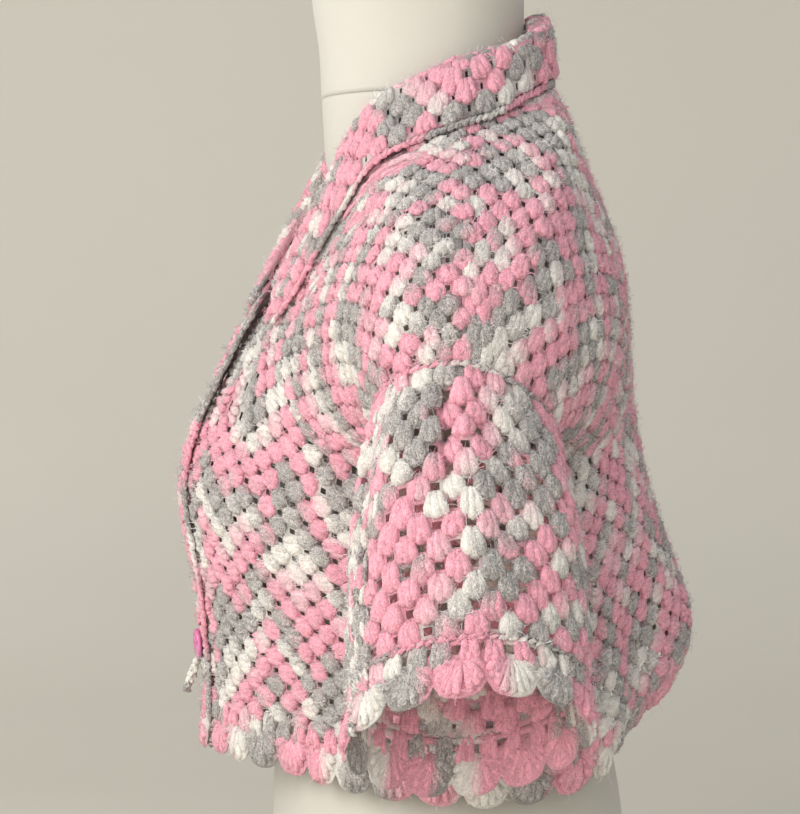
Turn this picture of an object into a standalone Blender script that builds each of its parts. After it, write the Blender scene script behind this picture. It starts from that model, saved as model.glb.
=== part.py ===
"""Crochet cropped cardigan with a shawl collar, worn on a limbless dress form.

Metres, +Z up. The front faces -Y and the wearer's left side is +X. The form
stands on its flat base at Z = 0. Every cloth wall is lofted from rings: the
body and the sleeves are surfaces worked out from the short tables below.
"""
import math

import bmesh
import bpy
from mathutils import Vector

# ---- cloth ------------------------------------------------------------------
WALL = 0.003            # crochet fabric of treble clusters
SEAM = 0.0003           # gap between two sewn pieces
COLLAR_WALL = 0.003
LAP = 0.012             # how far each front passes the centre line
UNDERARM = 0.50         # level of the underarm
EDGING_TOP = 0.085      # level where the hem edging is worked onto the body
EDGING_GAP = 0.0015     # half the gap there, as a level
V_POINT = 0.69          # level of the bottom of the neck opening
BACK_NECK = 0.955       # level of the middle of the back neckline
NECK_HALF = 0.072       # half width of the neckline on the shoulder line

# Rings of the body. Level 0 is the tips of the hem shells, 1 the shoulder line.
# Depths run from the side seam's plane; each height is the ring's own there.
BODY_COLUMNS = ("level", "half_width", "side_z",
                "front_depth", "front_z", "front_full", "front_rise",
                "back_depth", "back_z", "back_full", "back_rise")
BODY = (
    (0.000, 0.170, 0.128, 0.139, 0.142, 1.60, 2.00, 0.127, 0.202, 2.20, 1.60),
    (0.085, 0.172, 0.160, 0.138, 0.174, 1.60, 2.00, 0.141, 0.229, 2.20, 1.60),
    (0.250, 0.167, 0.215, 0.142, 0.227, 1.62, 2.00, 0.135, 0.257, 2.15, 1.70),
    (0.420, 0.159, 0.275, 0.152, 0.297, 1.70, 2.00, 0.123, 0.295, 2.10, 1.80),
    (0.500, 0.151, 0.315, 0.145, 0.327, 1.75, 2.00, 0.115, 0.332, 2.00, 2.00),
    (0.620, 0.151, 0.315, 0.118, 0.378, 1.80, 1.80, 0.109, 0.382, 2.00, 1.80),
    (0.740, 0.151, 0.315, 0.092, 0.421, 1.80, 1.60, 0.102, 0.435, 2.00, 1.55),
    (0.860, 0.151, 0.315, 0.070, 0.466, 1.85, 1.45, 0.083, 0.490, 2.00, 1.35),
    (0.955, 0.151, 0.315, 0.048, 0.508, 1.90, 1.40, 0.056, 0.543, 2.00, 1.18),
    (1.000, 0.151, 0.315, 0.000, 0.530, 2.00, 1.40, 0.000, 0.530, 2.00, 1.40),
)

# The armhole is an ellipse from the underarm up to the drop shoulder's end.
UNDERARM_X = 0.151
UNDERARM_Z = 0.315
ARM_TOP_X = 0.226
ARM_TOP_Z = 0.368
ARM_FRONT = 0.050
ARM_BACK = 0.046
ARM_BACK_DROP = 0.010   # the seam runs lower behind than in front
SHOULDER_FORWARD = 0.020
FRONT_STAND = 0.006     # the right front's edge stands clear of the left front

# Half width of the neck opening in the fronts.
NECK_COLUMNS = ("level", "x")
NECK = (
    (0.690, -LAP),
    (0.706, 0.003),
    (0.740, 0.012),
    (0.790, 0.025),
    (0.860, 0.043),
    (0.940, 0.061),
    (1.000, NECK_HALF),
)

# Soft folds. around: 0 front centre, 1 side, 2 back centre, on both sides.
# Columns: around, width, depth, low, high.
BODY_FOLDS = (
    (0.42, 0.10, -0.0040, -0.10, 0.36),
    (0.72, 0.12, 0.0050, -0.12, 0.40),
    (1.28, 0.10, 0.0060, -0.15, 0.42),
    (1.50, 0.10, -0.0090, -0.15, 0.46),
    (1.74, 0.12, 0.0050, -0.15, 0.42),
)

# ---- sleeve -----------------------------------------------------------------
CUFF_CENTRE = (0.236, -0.018, 0.200)    # middle of the ring where the cuff starts
CUFF_HALF_WIDTH = 0.058                 # across, in the ring's tilted plane
CUFF_HALF_DEPTH = 0.062                 # front to back
CUFF_TILT = math.radians(33)            # outer side higher than the inner
CUFF_LENGTH = 0.21                      # share of the sleeve's own length
SLEEVE_SWELL = 0.006                    # how much the tube swells half way down
SLEEVE_FULLNESS = 1.85                  # under 2: front and back edges draw in
SLEEVE_FOLDS = (                        # around: 0 inner side, 1 front, 2 outer, 3 back
    (2.02, 0.16, -0.0055, -0.30, 0.42),
    (1.55, 0.20, 0.0030, 0.10, 1.10),
    (2.55, 0.18, 0.0035, 0.00, 0.90),
)

# ---- shells of the edgings ---------------------------------------------------
SHELL_WIDTH = 0.026
SHELL_NOTCH = 0.008
SHELL_CUP = 0.0012      # how far each shell's middle stands out
SHELL_STEPS = 5

# ---- collar -----------------------------------------------------------------
# Stations from the lapel's foot to the back centre. fall_x and fall_y place the
# fall edge on the body; stand is the height of the roll over the seam.
COLLAR_COLUMNS = ("station", "stand", "lean", "fall_x", "fall_y")
COLLAR = (
    (0.00, 0.003, 0.000, 0.054, -0.103),
    (0.14, 0.006, 0.000, 0.067, -0.093),
    (0.28, 0.010, 0.001, 0.081, -0.082),
    (0.40, 0.015, 0.002, 0.094, -0.069),
    (0.50, 0.020, 0.002, 0.103, -0.055),
    (0.58, 0.024, 0.002, 0.108, -0.039),
    (0.66, 0.029, 0.003, 0.106, -0.006),
    (0.72, 0.031, 0.003, 0.094, 0.019),
    (0.78, 0.033, 0.003, 0.076, 0.036),
    (0.84, 0.034, 0.003, 0.060, 0.050),
    (0.90, 0.035, 0.003, 0.041, 0.059),
    (1.00, 0.036, 0.003, 0.000, 0.064),
)
COLLAR_FOOT = 0.708     # level of the lapel's foot on the neckline
SHOULDER_STATION = 0.66 # where the collar's foot crosses the shoulder line
COLLAR_STATIONS = 25    # on each half
COLLAR_STEPS = 14       # along the section, seam to fall edge
ROLL_PASSES = 8          # how softly the roll bends
ROLL_SPREAD = 0.011     # between the stand and the fall, at the roll
FALL_CLEAR = 0.0026     # under the fall edge
FOOT_CLEAR = 0.0002     # under the stand's foot

# ---- trims ------------------------------------------------------------------
CORD_RADIUS = 0.0022
BUTTON_RADIUS = 0.0088
BUTTON_THICK = 0.0034
BUTTON_LEVEL = 0.182
BUTTON_X = 0.004
BUTTON_CLEAR = 0.0006
TAB_RADIUS = 0.0028
TAB_LENGTH = 0.021

# ---- dress form -------------------------------------------------------------
NECK_SEAM_Z = 0.5276
# Columns: side_z, front_z, back_z, half_width, front, back, fullness.
TORSO = (
    (0.000, 0.000, 0.000, 0.146, 0.098, 0.106, 2.3),
    (0.050, 0.050, 0.050, 0.150, 0.099, 0.108, 2.3),
    (0.110, 0.110, 0.110, 0.147, 0.099, 0.104, 2.3),
    (0.170, 0.170, 0.170, 0.132, 0.095, 0.094, 2.3),
    (0.225, 0.225, 0.225, 0.122, 0.096, 0.088, 2.2),
    (0.285, 0.285, 0.285, 0.131, 0.122, 0.092, 2.2),
    (0.330, 0.325, 0.335, 0.137, 0.120, 0.094, 2.2),
    (0.375, 0.372, 0.385, 0.146, 0.103, 0.096, 2.2),
    (0.415, 0.414, 0.430, 0.160, 0.087, 0.092, 2.2),
    (0.4490, 0.4458, 0.4620, 0.162, 0.075, 0.081, 2.1),
    (0.4708, 0.4598, 0.4785, 0.147, 0.069, 0.074, 2.0),
    (0.4885, 0.4718, 0.4915, 0.120, 0.066, 0.067, 1.8),
    (0.498, 0.482, 0.500, 0.090, 0.067, 0.059, 1.8),
    (0.507, 0.495, 0.509, 0.068, 0.069, 0.052, 1.9),
    (0.517, 0.512, 0.518, 0.059, 0.070, 0.050, 2.0),
    (NECK_SEAM_Z, NECK_SEAM_Z, NECK_SEAM_Z, 0.058, 0.071, 0.050, 2.0),
)
FORM_NECK = (
    (NECK_SEAM_Z + SEAM, NECK_SEAM_Z + SEAM, NECK_SEAM_Z + SEAM, 0.0585, 0.0712, 0.0502, 2.0),
    (0.552, 0.552, 0.552, 0.0590, 0.0722, 0.0500, 2.0),
    (0.588, 0.588, 0.588, 0.0605, 0.0770, 0.0500, 2.0),
    (0.622, 0.622, 0.622, 0.0620, 0.0790, 0.0510, 2.0),
    (0.634, 0.634, 0.634, 0.0590, 0.0760, 0.0480, 2.0),
    (0.640, 0.640, 0.640, 0.0480, 0.0640, 0.0380, 2.0),
)
FORM_STEPS = 36

PALE_PINK = (0.86, 0.42, 0.50)
GREY = (0.36, 0.35, 0.34)
CREAM = (0.86, 0.83, 0.77)
COTTON = (0.84, 0.80, 0.72)
MAGENTA = (0.76, 0.22, 0.48)


def clear_scene():
    for old in list(bpy.data.objects):
        bpy.data.objects.remove(old, do_unlink=True)


def material(name, colour, roughness):
    mat = bpy.data.materials.new(name)
    mat.use_nodes = True
    shader = mat.node_tree.nodes["Principled BSDF"]
    shader.inputs["Base Color"].default_value = (*colour, 1.0)
    shader.inputs["Roughness"].default_value = roughness
    shader.inputs["Metallic"].default_value = 0.0
    return mat


def column(table, columns, name, at):
    """Smooth value of one column of a table at a place in its first column."""
    pick = columns.index(name)
    places = [row[0] for row in table]
    values = [row[pick] for row in table]
    last = len(table) - 1
    i = 0
    while i < last - 1 and at > places[i + 1]:
        i += 1
    slopes = [(values[k + 1] - values[k]) / (places[k + 1] - places[k]) for k in range(last)]

    def tangent(k):
        if k == 0:
            return slopes[0]
        if k == last:
            return slopes[-1]
        if slopes[k - 1] * slopes[k] <= 0.0:
            return 0.0
        return 2.0 * slopes[k - 1] * slopes[k] / (slopes[k - 1] + slopes[k])

    span = places[i + 1] - places[i]
    t = (at - places[i]) / span
    if t < 0.0:
        return values[i] + tangent(i) * (at - places[i])
    h00 = 2 * t ** 3 - 3 * t ** 2 + 1
    h10 = t ** 3 - 2 * t ** 2 + t
    h01 = -2 * t ** 3 + 3 * t ** 2
    h11 = t ** 3 - t ** 2
    return (h00 * values[i] + h10 * span * tangent(i)
            + h01 * values[i + 1] + h11 * span * tangent(i + 1))


def smooth(t):
    t = min(max(t, 0.0), 1.0)
    return t * t * (3.0 - 2.0 * t)


def fold_height(folds, around, along):
    """Outward height of the soft folds at a place on a surface."""
    height = 0.0
    for place, width, depth, low, high in folds:
        across = math.exp(-((around - place) / width) ** 2)
        fade = smooth((high - along) / (0.5 * (high - low)))
        height += depth * across * fade
    return height


def squircle(angle, fullness):
    """Unit superellipse: how far across and how far forward at an angle."""
    s = math.sin(angle)
    c = math.cos(angle)
    reach = (abs(s) ** fullness + abs(c) ** fullness) ** (-1.0 / fullness)
    return reach * s, reach * c


def angle_of(across, fullness):
    """Angle at which the unit superellipse is this far across."""
    share = min(abs(across), 0.9999)
    forward = (1.0 - share ** fullness) ** (1.0 / fullness)
    return math.copysign(math.atan2(share, forward), across)


def armhole(level):
    """Armhole seam: x, depth share and z at a level over the underarm."""
    turn = math.pi * min(max((level - UNDERARM) / (1.0 - UNDERARM), 0.0), 1.0)
    rise = 0.5 * (1.0 - math.cos(turn))
    x = UNDERARM_X + (ARM_TOP_X - UNDERARM_X) * rise
    z = UNDERARM_Z + (ARM_TOP_Z - UNDERARM_Z) * rise
    return x, math.sin(turn), z


def body(around, level):
    """Point of the body's outer surface, before the fronts lap.

    around runs 0 front centre, 1 left side, 2 back centre, 3 right side, 4 front.
    """
    mirrored = around > 2.0
    place = 4.0 - around if mirrored else around
    in_front = place <= 1.0
    which = "front" if in_front else "back"
    angle = 0.5 * math.pi * (place if in_front else 2.0 - place)
    fullness = column(BODY, BODY_COLUMNS, which + "_full", level)
    across, forward = squircle(angle, fullness)
    depth = column(BODY, BODY_COLUMNS, which + "_depth", level)
    centre_z = column(BODY, BODY_COLUMNS, which + "_z", level)
    if level > UNDERARM:
        half_width, arm, side_z = armhole(level)
        if not in_front:
            side_z -= ARM_BACK_DROP * arm * smooth((level - UNDERARM) / (0.6 * (1.0 - UNDERARM)))
        arm *= ARM_FRONT if in_front else ARM_BACK
    else:
        half_width = column(BODY, BODY_COLUMNS, "half_width", level)
        side_z = column(BODY, BODY_COLUMNS, "side_z", level)
        arm = 0.0
    over = smooth((level - UNDERARM) / (1.0 - UNDERARM) * 2.0)
    rise = column(BODY, BODY_COLUMNS, which + "_rise", level)
    share = max(1.0 - abs(across) ** rise, 0.0)
    drop = share ** (1.0 - 0.5 * over)
    x = half_width * across
    y = arm + (depth - arm) * forward
    z = side_z + (centre_z - side_z) * drop
    push = fold_height(BODY_FOLDS, place, level)
    length = math.hypot(x / half_width, forward) or 1.0
    x += push * across / length
    y += push * forward / length
    y = -y if in_front else y
    if level > UNDERARM:
        y -= SHOULDER_FORWARD * (half_width - UNDERARM_X) / (ARM_TOP_X - UNDERARM_X) * across * across
    return Vector((-x if mirrored else x, y, z))


def lapped(around, level):
    """Body surface with the right front lifted to lie on the left one."""
    point = body(around, level)
    if around > 3.0:
        lift = smooth(1.0 - (4.0 - around - LAP_TURN) / (6.0 * LAP_TURN))
        stand = FRONT_STAND * math.exp(-((level - V_POINT) / 0.16) ** 2)
        point.y -= (WALL + 2.0 * SEAM + stand) * lift
    return point


def cross_normal(surface, u, v, step=0.002):
    """Unit normal of a surface, pointing out of the garment."""
    du = surface(u + step, v) - surface(u - step, v)
    dv = surface(u, v + step) - surface(u, v - step)
    return du.cross(dv).normalized()


def body_normal(around, level):
    """Outward normal of the body; the shoulder seam keeps one shared normal."""
    level = min(level, 0.996)
    gap = 0.004
    place = around
    if 0.0 < abs(around - 1.0) < gap:
        place = 1.0 - gap if around < 1.0 else 1.0 + gap
    if 0.0 < abs(around - 3.0) < gap:
        place = 3.0 - gap if around < 3.0 else 3.0 + gap
    normal = cross_normal(lapped, place, level)
    ridge = smooth((1.0 - level) / 0.05)
    normal.y *= ridge
    return normal.normalized()


LAP_TURN = LAP / column(BODY, BODY_COLUMNS, "half_width", 0.0) / (0.5 * math.pi)


def neck_around(level):
    """Where the neckline crosses a level of the left front."""
    x = -LAP if level <= V_POINT else column(NECK, NECK_COLUMNS, "x", level)
    half_width = column(BODY, BODY_COLUMNS, "half_width", level)
    if level > UNDERARM:
        half_width = armhole(level)[0]
    fullness = column(BODY, BODY_COLUMNS, "front_full", level)
    return angle_of(x / half_width, fullness) / (0.5 * math.pi)


def back_top(around):
    """Highest level of the back at a place around: the neckline, then the shoulder."""
    edge = abs(2.0 - around) / (2.0 - NECK_AROUND)
    if edge >= 1.0:
        return 1.0
    return 1.0 - (1.0 - BACK_NECK) * math.sqrt(1.0 - edge ** 2.5)


NECK_AROUND = 2.0 - neck_around(1.0)


def new_object(name, mesh_builder, mat, collection):
    mesh = bpy.data.meshes.new(name)
    mesh_builder.to_mesh(mesh)
    mesh_builder.free()
    mesh.shade_smooth()
    mesh.materials.append(mat)
    made = bpy.data.objects.new(name, mesh)
    collection.objects.link(made)
    return made


def loft_wall(name, outer, inner, closed, mat, collection):
    """A wall between two like grids of points, closed round its rims."""
    bm = bmesh.new()
    out_rows = [[bm.verts.new(p) for p in row] for row in outer]
    in_rows = [[bm.verts.new(p) for p in row] for row in inner]
    count = len(outer[0])
    steps = count if closed else count - 1
    for low, high, a, b in zip(out_rows, out_rows[1:], in_rows, in_rows[1:]):
        for i in range(steps):
            j = (i + 1) % count
            bm.faces.new((low[i], low[j], high[j], high[i]))
            bm.faces.new((a[i], b[i], b[j], a[j]))
    for out_row, in_row in ((out_rows[0], in_rows[0]), (out_rows[-1], in_rows[-1])):
        for i in range(steps):
            j = (i + 1) % count
            bm.faces.new((out_row[i], in_row[i], in_row[j], out_row[j]))
    if not closed:
        for k in (0, count - 1):
            for low, high, a, b in zip(out_rows, out_rows[1:], in_rows, in_rows[1:]):
                bm.faces.new((low[k], high[k], b[k], a[k]))
    bmesh.ops.recalc_face_normals(bm, faces=bm.faces)
    return new_object(name, bm, mat, collection)


def loft_ends(name, rings, mat, collection):
    """A solid through closed rings, its first and last ring filled."""
    bm = bmesh.new()
    loops = [[bm.verts.new(p) for p in ring] for ring in rings]
    for low, high in zip(loops, loops[1:]):
        for i in range(len(low)):
            j = (i + 1) % len(low)
            bm.faces.new((low[i], low[j], high[j], high[i]))
    bm.faces.new(loops[0][::-1])
    bm.faces.new(loops[-1])
    bmesh.ops.recalc_face_normals(bm, faces=bm.faces)
    return new_object(name, bm, mat, collection)


def body_wall(name, places, shares, mat, collection):
    """A panel of the body. places(share) gives the (around, level) of one row."""
    outer = []
    inner = []
    for share in shares:
        row_out = []
        row_in = []
        for place, level in places(share):
            point = lapped(place, level)
            row_out.append(point)
            row_in.append(point - WALL * body_normal(place, level))
        outer.append(row_out)
        inner.append(row_in)
    return loft_wall(name, outer, inner, False, mat, collection)


def spread(low, high, count):
    return [low + (high - low) * i / (count - 1) for i in range(count)]


# Levels of the panels' rows, closer together over the shoulder.
PANEL_LEVELS = (
    spread(EDGING_TOP + EDGING_GAP, 0.46, 7) + spread(UNDERARM, 0.94, 9) + [0.975, 1.0 - 0.0006]
)
FRONT_STEPS = 13
BACK_STEPS = 35


def front_left_row(level):
    start = neck_around(level)
    stop = 1.0 - SEAM / 0.3
    if level > UNDERARM:
        stop = 1.0
    return [(place, level) for place in spread(start, stop, FRONT_STEPS)]


def front_right_row(level):
    return [(4.0 - place, level) for place, level in front_left_row(level)]


def back_row(level):
    edge = SEAM / 0.3 if level <= UNDERARM else 0.0002
    row = []
    for place in spread(1.0 + edge, 3.0 - edge, BACK_STEPS):
        top = back_top(place)
        lifted = EDGING_TOP + (level - EDGING_TOP) * (top - EDGING_TOP) / (1.0 - EDGING_TOP)
        blend = smooth((level - 0.7) / 0.3)
        row.append((place, level + (lifted - level) * blend))
    return row


def even_places(curve, low, high, count):
    """Places at even distances along a curve."""
    fine = spread(low, high, 721)
    points = [curve(place) for place in fine]
    lengths = [0.0]
    for a, b in zip(points, points[1:]):
        lengths.append(lengths[-1] + (b - a).length)
    places = []
    k = 0
    for i in range(count):
        goal = lengths[-1] * i / (count - 1)
        while k < len(fine) - 2 and lengths[k + 1] < goal:
            k += 1
        share = (goal - lengths[k]) / (lengths[k + 1] - lengths[k])
        places.append(fine[k] + (fine[k + 1] - fine[k]) * share)
    return places, lengths[-1]


def shell_edge(step):
    """Share of a shell's full depth at a step along the edging."""
    t = (step % SHELL_STEPS) / SHELL_STEPS
    return math.sqrt(max(1.0 - (2.0 * t - 1.0) ** 2, 0.0))


def hem_edging(mat, collection):
    start = -LAP_TURN
    stop = 4.0 + LAP_TURN

    def hem(place):
        return lapped(place, 0.0)

    length = even_places(hem, start, stop, 2)[1]
    shells = round(length / SHELL_WIDTH)
    places = even_places(hem, start, stop, shells * SHELL_STEPS + 1)[0]
    top = EDGING_TOP - EDGING_GAP
    notch = SHELL_NOTCH / 0.035 * EDGING_TOP
    outer = []
    inner = []
    for share in (0.0, 0.35, 1.0):
        row_out = []
        row_in = []
        for step, place in enumerate(places):
            full = shell_edge(step)
            bottom = notch * (1.0 - full)
            level = bottom + (top - bottom) * share
            normal = body_normal(place, level)
            point = lapped(place, level) + normal * SHELL_CUP * full * (1.0 - share)
            row_out.append(point)
            row_in.append(point - WALL * normal)
        outer.append(row_out)
        inner.append(row_in)
    return loft_wall("hem_edging", outer, inner, False, mat, collection)


def armhole_point(around):
    """Armhole seam of the left side; 0 underarm, 1 front, 2 top, 3 back."""
    around %= 4.0
    if around <= 2.0:
        return body(1.0, UNDERARM + (1.0 - UNDERARM) * around / 2.0)
    return body(1.0 + 1e-6, UNDERARM + (1.0 - UNDERARM) * (4.0 - around) / 2.0)


def cuff_point(around):
    """Ring where the cuff starts, seen along the sleeve."""
    angle = 0.5 * math.pi * around
    depth, across = squircle(angle, SLEEVE_FULLNESS)
    across *= -CUFF_HALF_WIDTH
    depth *= -CUFF_HALF_DEPTH
    x, y, z = CUFF_CENTRE
    return Vector((x + across * math.cos(CUFF_TILT), y + depth, z + across * math.sin(CUFF_TILT)))


ARM_NORMAL = Vector((ARM_TOP_Z - UNDERARM_Z, 0.0, UNDERARM_X - ARM_TOP_X)).normalized()


def sleeve(around, along):
    """Point of the left sleeve's outer surface; along 0 armhole, 1 cuff seam."""
    top = armhole_point(around) + ARM_NORMAL * 4.0 * SEAM
    end = cuff_point(around)
    point = top.lerp(end, along)
    middle = (armhole_point(0.0) + armhole_point(2.0)).lerp(
        cuff_point(0.0) + cuff_point(2.0), along) * 0.5
    outward = point - middle
    outward.normalize()
    swell = SLEEVE_SWELL * math.sin(math.pi * min(along, 1.0))
    swell *= 0.2 + 0.8 * math.sin(0.25 * math.pi * (around % 4.0))
    return point + outward * (swell + fold_height(SLEEVE_FOLDS, around % 4.0, along) * smooth(along * 4.0))


def sleeve_normal(around, along):
    return -cross_normal(sleeve, around, max(along, 0.004))


SLEEVE_STEPS = 30
SLEEVE_ROWS = 10
SLEEVE_START = 0.002


def mirrored(rows):
    return [[Vector((-p.x, p.y, p.z)) for p in row] for row in rows]


def sleeve_walls(mat, collection):
    places = even_places(lambda a: sleeve(a, 0.5), 0.0, 4.0, SLEEVE_STEPS + 1)[0][:-1]
    outer = []
    inner = []
    for along in spread(SLEEVE_START, 1.0 - 0.001, SLEEVE_ROWS):
        outer.append([sleeve(place, along) for place in places])
        inner.append([sleeve(place, along) - WALL * sleeve_normal(place, along) for place in places])
    loft_wall("sleeve_left", outer, inner, True, mat, collection)
    loft_wall("sleeve_right", mirrored(outer), mirrored(inner), True, mat, collection)


def cuff_walls(mat, collection):
    length = even_places(lambda a: sleeve(a, 1.0), 0.0, 4.0, 2)[1]
    shells = round(length / SHELL_WIDTH)
    places = even_places(lambda a: sleeve(a, 1.0), 0.0, 4.0, shells * SHELL_STEPS + 1)[0][:-1]
    notch = SHELL_NOTCH / 0.145
    outer = []
    inner = []
    for share in (0.0, 0.45, 1.0):
        row_out = []
        row_in = []
        for step, place in enumerate(places):
            full = shell_edge(step)
            along = 1.001 + (CUFF_LENGTH - notch * (1.0 - full)) * share
            normal = sleeve_normal(place, along)
            point = sleeve(place, along) + normal * SHELL_CUP * full * share
            row_out.append(point)
            row_in.append(point - WALL * normal)
        outer.append(row_out)
        inner.append(row_in)
    loft_wall("cuff_left", outer, inner, True, mat, collection)
    loft_wall("cuff_right", mirrored(outer), mirrored(inner), True, mat, collection)


def on_body(x, y):
    """Place on the body's outer surface over or under a spot, left half."""
    shoulder_y = -SHOULDER_FORWARD * (x / ARM_TOP_X) ** 2
    behind = y > shoulder_y

    def place(level):
        half_width = armhole(level)[0] if level > UNDERARM else UNDERARM_X
        fullness = column(BODY, BODY_COLUMNS, "back_full" if behind else "front_full", level)
        turn = angle_of(x / half_width, fullness) / (0.5 * math.pi)
        return 2.0 - turn if behind else turn

    low = UNDERARM
    high = 1.0 - 1e-4
    for _ in range(30):
        middle = 0.5 * (low + high)
        reached = body(place(middle), middle).y
        if (reached > y) == behind:
            low = middle
        else:
            high = middle
    return place(low), low


def collar_seam(station):
    """Place on the neckline: 0 lapel foot, shoulder at SHOULDER_STATION, 1 back."""
    if station <= SHOULDER_STATION:
        share = station / SHOULDER_STATION
        level = COLLAR_FOOT + (0.9995 - COLLAR_FOOT) * share * (1.3 - 0.3 * share)
        return neck_around(level), level
    share = (station - SHOULDER_STATION) / (1.0 - SHOULDER_STATION)
    edge = max(math.cos(0.5 * math.pi * share), 0.0) ** 0.8
    place = 2.0 - (2.0 - NECK_AROUND) * edge
    return place, back_top(place)


def collar_section(station, side):
    """Middle line of the collar's cloth at a station, seam to fall edge."""
    place, level = collar_seam(station)
    stand = column(COLLAR, COLLAR_COLUMNS, "stand", station)
    lean = column(COLLAR, COLLAR_COLUMNS, "lean", station)
    fall_x = column(COLLAR, COLLAR_COLUMNS, "fall_x", station)
    fall_y = column(COLLAR, COLLAR_COLUMNS, "fall_y", station)
    if side > 0:
        seam = lapped(place, level)
        seam_normal = body_normal(place, level)
    else:
        seam = lapped(4.0 - place, level)
        seam_normal = body_normal(4.0 - place, level)
    fall_place, fall_level = on_body(fall_x, fall_y)
    if side < 0:
        fall_place = 4.0 - fall_place
    fall_normal = body_normal(fall_place, fall_level)
    up = Vector((0.0, 0.0, 1.0))
    fall = lapped(fall_place, fall_level) + fall_normal * (0.5 * COLLAR_WALL + FALL_CLEAR)
    foot = seam + seam_normal * (0.5 * COLLAR_WALL + FOOT_CLEAR)
    outward = Vector((fall.x - foot.x, fall.y - foot.y, 0.0))
    outward.normalize()
    roll = foot + up * stand - outward * lean
    over = roll + outward * ROLL_SPREAD
    down = (fall - over).normalized()
    room = 2.2 * CORD_RADIUS * max(-down.dot(fall_normal), 0.0)
    return [foot, roll, over, fall - down * room]


def even_points(points, count):
    """Points at even steps along a line of straight runs."""
    lengths = [0.0]
    for a, b in zip(points, points[1:]):
        lengths.append(lengths[-1] + (b - a).length)
    result = []
    k = 0
    for i in range(count):
        goal = lengths[-1] * i / (count - 1)
        while k < len(points) - 2 and lengths[k + 1] < goal:
            k += 1
        share = (goal - lengths[k]) / (lengths[k + 1] - lengths[k])
        result.append(points[k].lerp(points[k + 1], share))
    return result


def rounded(points, count):
    """The same line with its corners turned into soft bends; its ends stay."""
    fine = even_points(points, 4 * count)
    for _ in range(ROLL_PASSES):
        middle = [(a + b * 2.0 + c) * 0.25 for a, b, c in zip(fine, fine[1:], fine[2:])]
        fine = [fine[0]] + middle + [fine[-1]]
    return even_points(fine, count)


def collar_rows():
    """Grid of the collar's middle surface, right lapel's foot to the left one's."""
    rows = []
    for station in spread(0.0, 1.0, COLLAR_STATIONS):
        rows.append(rounded(collar_section(station, -1), COLLAR_STEPS))
    for station in spread(1.0, 0.0, COLLAR_STATIONS)[1:]:
        rows.append(rounded(collar_section(station, 1), COLLAR_STEPS))
    return rows


def grid_normals(rows):
    normals = []
    for r, row in enumerate(rows):
        line = []
        for c in range(len(row)):
            before = rows[max(r - 1, 0)][c]
            after = rows[min(r + 1, len(rows) - 1)][c]
            low = row[max(c - 1, 0)]
            high = row[min(c + 1, len(row) - 1)]
            line.append((after - before).cross(high - low).normalized())
        normals.append(line)
    return normals


def collar(mat, collection):
    rows = collar_rows()
    normals = grid_normals(rows)
    half = 0.5 * COLLAR_WALL
    outer = [[p + half * n for p, n in zip(row, line)] for row, line in zip(rows, normals)]
    inner = [[p - half * n for p, n in zip(row, line)] for row, line in zip(rows, normals)]
    loft_wall("collar", outer, inner, False, mat, collection)
    return rows


def cord(name, points, radius, mat, collection, sides=2):
    curve = bpy.data.curves.new(name, "CURVE")
    curve.dimensions = "3D"
    curve.bevel_depth = radius
    curve.bevel_resolution = sides
    curve.use_fill_caps = True
    line = curve.splines.new("POLY")
    line.points.add(len(points) - 1)
    for knot, point in zip(line.points, points):
        knot.co = (*point, 1.0)
    curve.materials.append(mat)
    made = bpy.data.objects.new(name, curve)
    collection.objects.link(made)
    return made


def front_edge(mat, collection):
    """Crab-stitch edge along the right front, from the lapel's foot to the hem."""
    points = []
    for level in spread(0.035, V_POINT - 0.01, 30):
        half_width = armhole(level)[0] if level > UNDERARM else column(
            BODY, BODY_COLUMNS, "half_width", level)
        reach = (CORD_RADIUS + 2.0 * SEAM) / half_width / (0.5 * math.pi)
        place = 4.0 - neck_around(level) + reach
        points.append(lapped(place, level) - 0.0007 * body_normal(place, level))
    cord("front_edge", points, CORD_RADIUS, mat, collection)


def collar_edge(rows, mat, collection):
    """Crab-stitch edge along the collar's fall edge."""
    points = []
    for row in rows[2:-2]:
        along = (row[-1] - row[-2]).normalized()
        point = row[-1] + along * (CORD_RADIUS + 3.0 * SEAM)
        place, level = on_body(abs(point.x), point.y)
        if point.x < 0.0:
            place = 4.0 - place
        normal = body_normal(place, level)
        height = normal.dot(point - lapped(place, level))
        points.append(point + normal * max(CORD_RADIUS + 4.0 * SEAM - height, 0.0))
    cord("collar_edge", points, CORD_RADIUS, mat, collection)


def button_seat():
    """Where the button lies on the right front, and the way it faces."""
    place = 4.0 + BUTTON_X / 0.16 / (0.5 * math.pi)
    return lapped(place, BUTTON_LEVEL), body_normal(place, BUTTON_LEVEL)


def button(mat, collection):
    seat, normal = button_seat()
    bpy.ops.mesh.primitive_cylinder_add(vertices=24, radius=BUTTON_RADIUS, depth=BUTTON_THICK)
    made = bpy.context.object
    made.name = "button"
    made.data.name = "button"
    made.data.materials.append(mat)
    made.rotation_euler = normal.to_track_quat("Z", "Y").to_euler()
    made.location = seat + normal * (0.5 * BUTTON_THICK + BUTTON_CLEAR)
    soften = made.modifiers.new("rim", "BEVEL")
    soften.width = 0.0012
    soften.segments = 2
    soften.limit_method = "ANGLE"
    for old in list(made.users_collection):
        old.objects.unlink(made)
    collection.objects.link(made)


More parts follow.
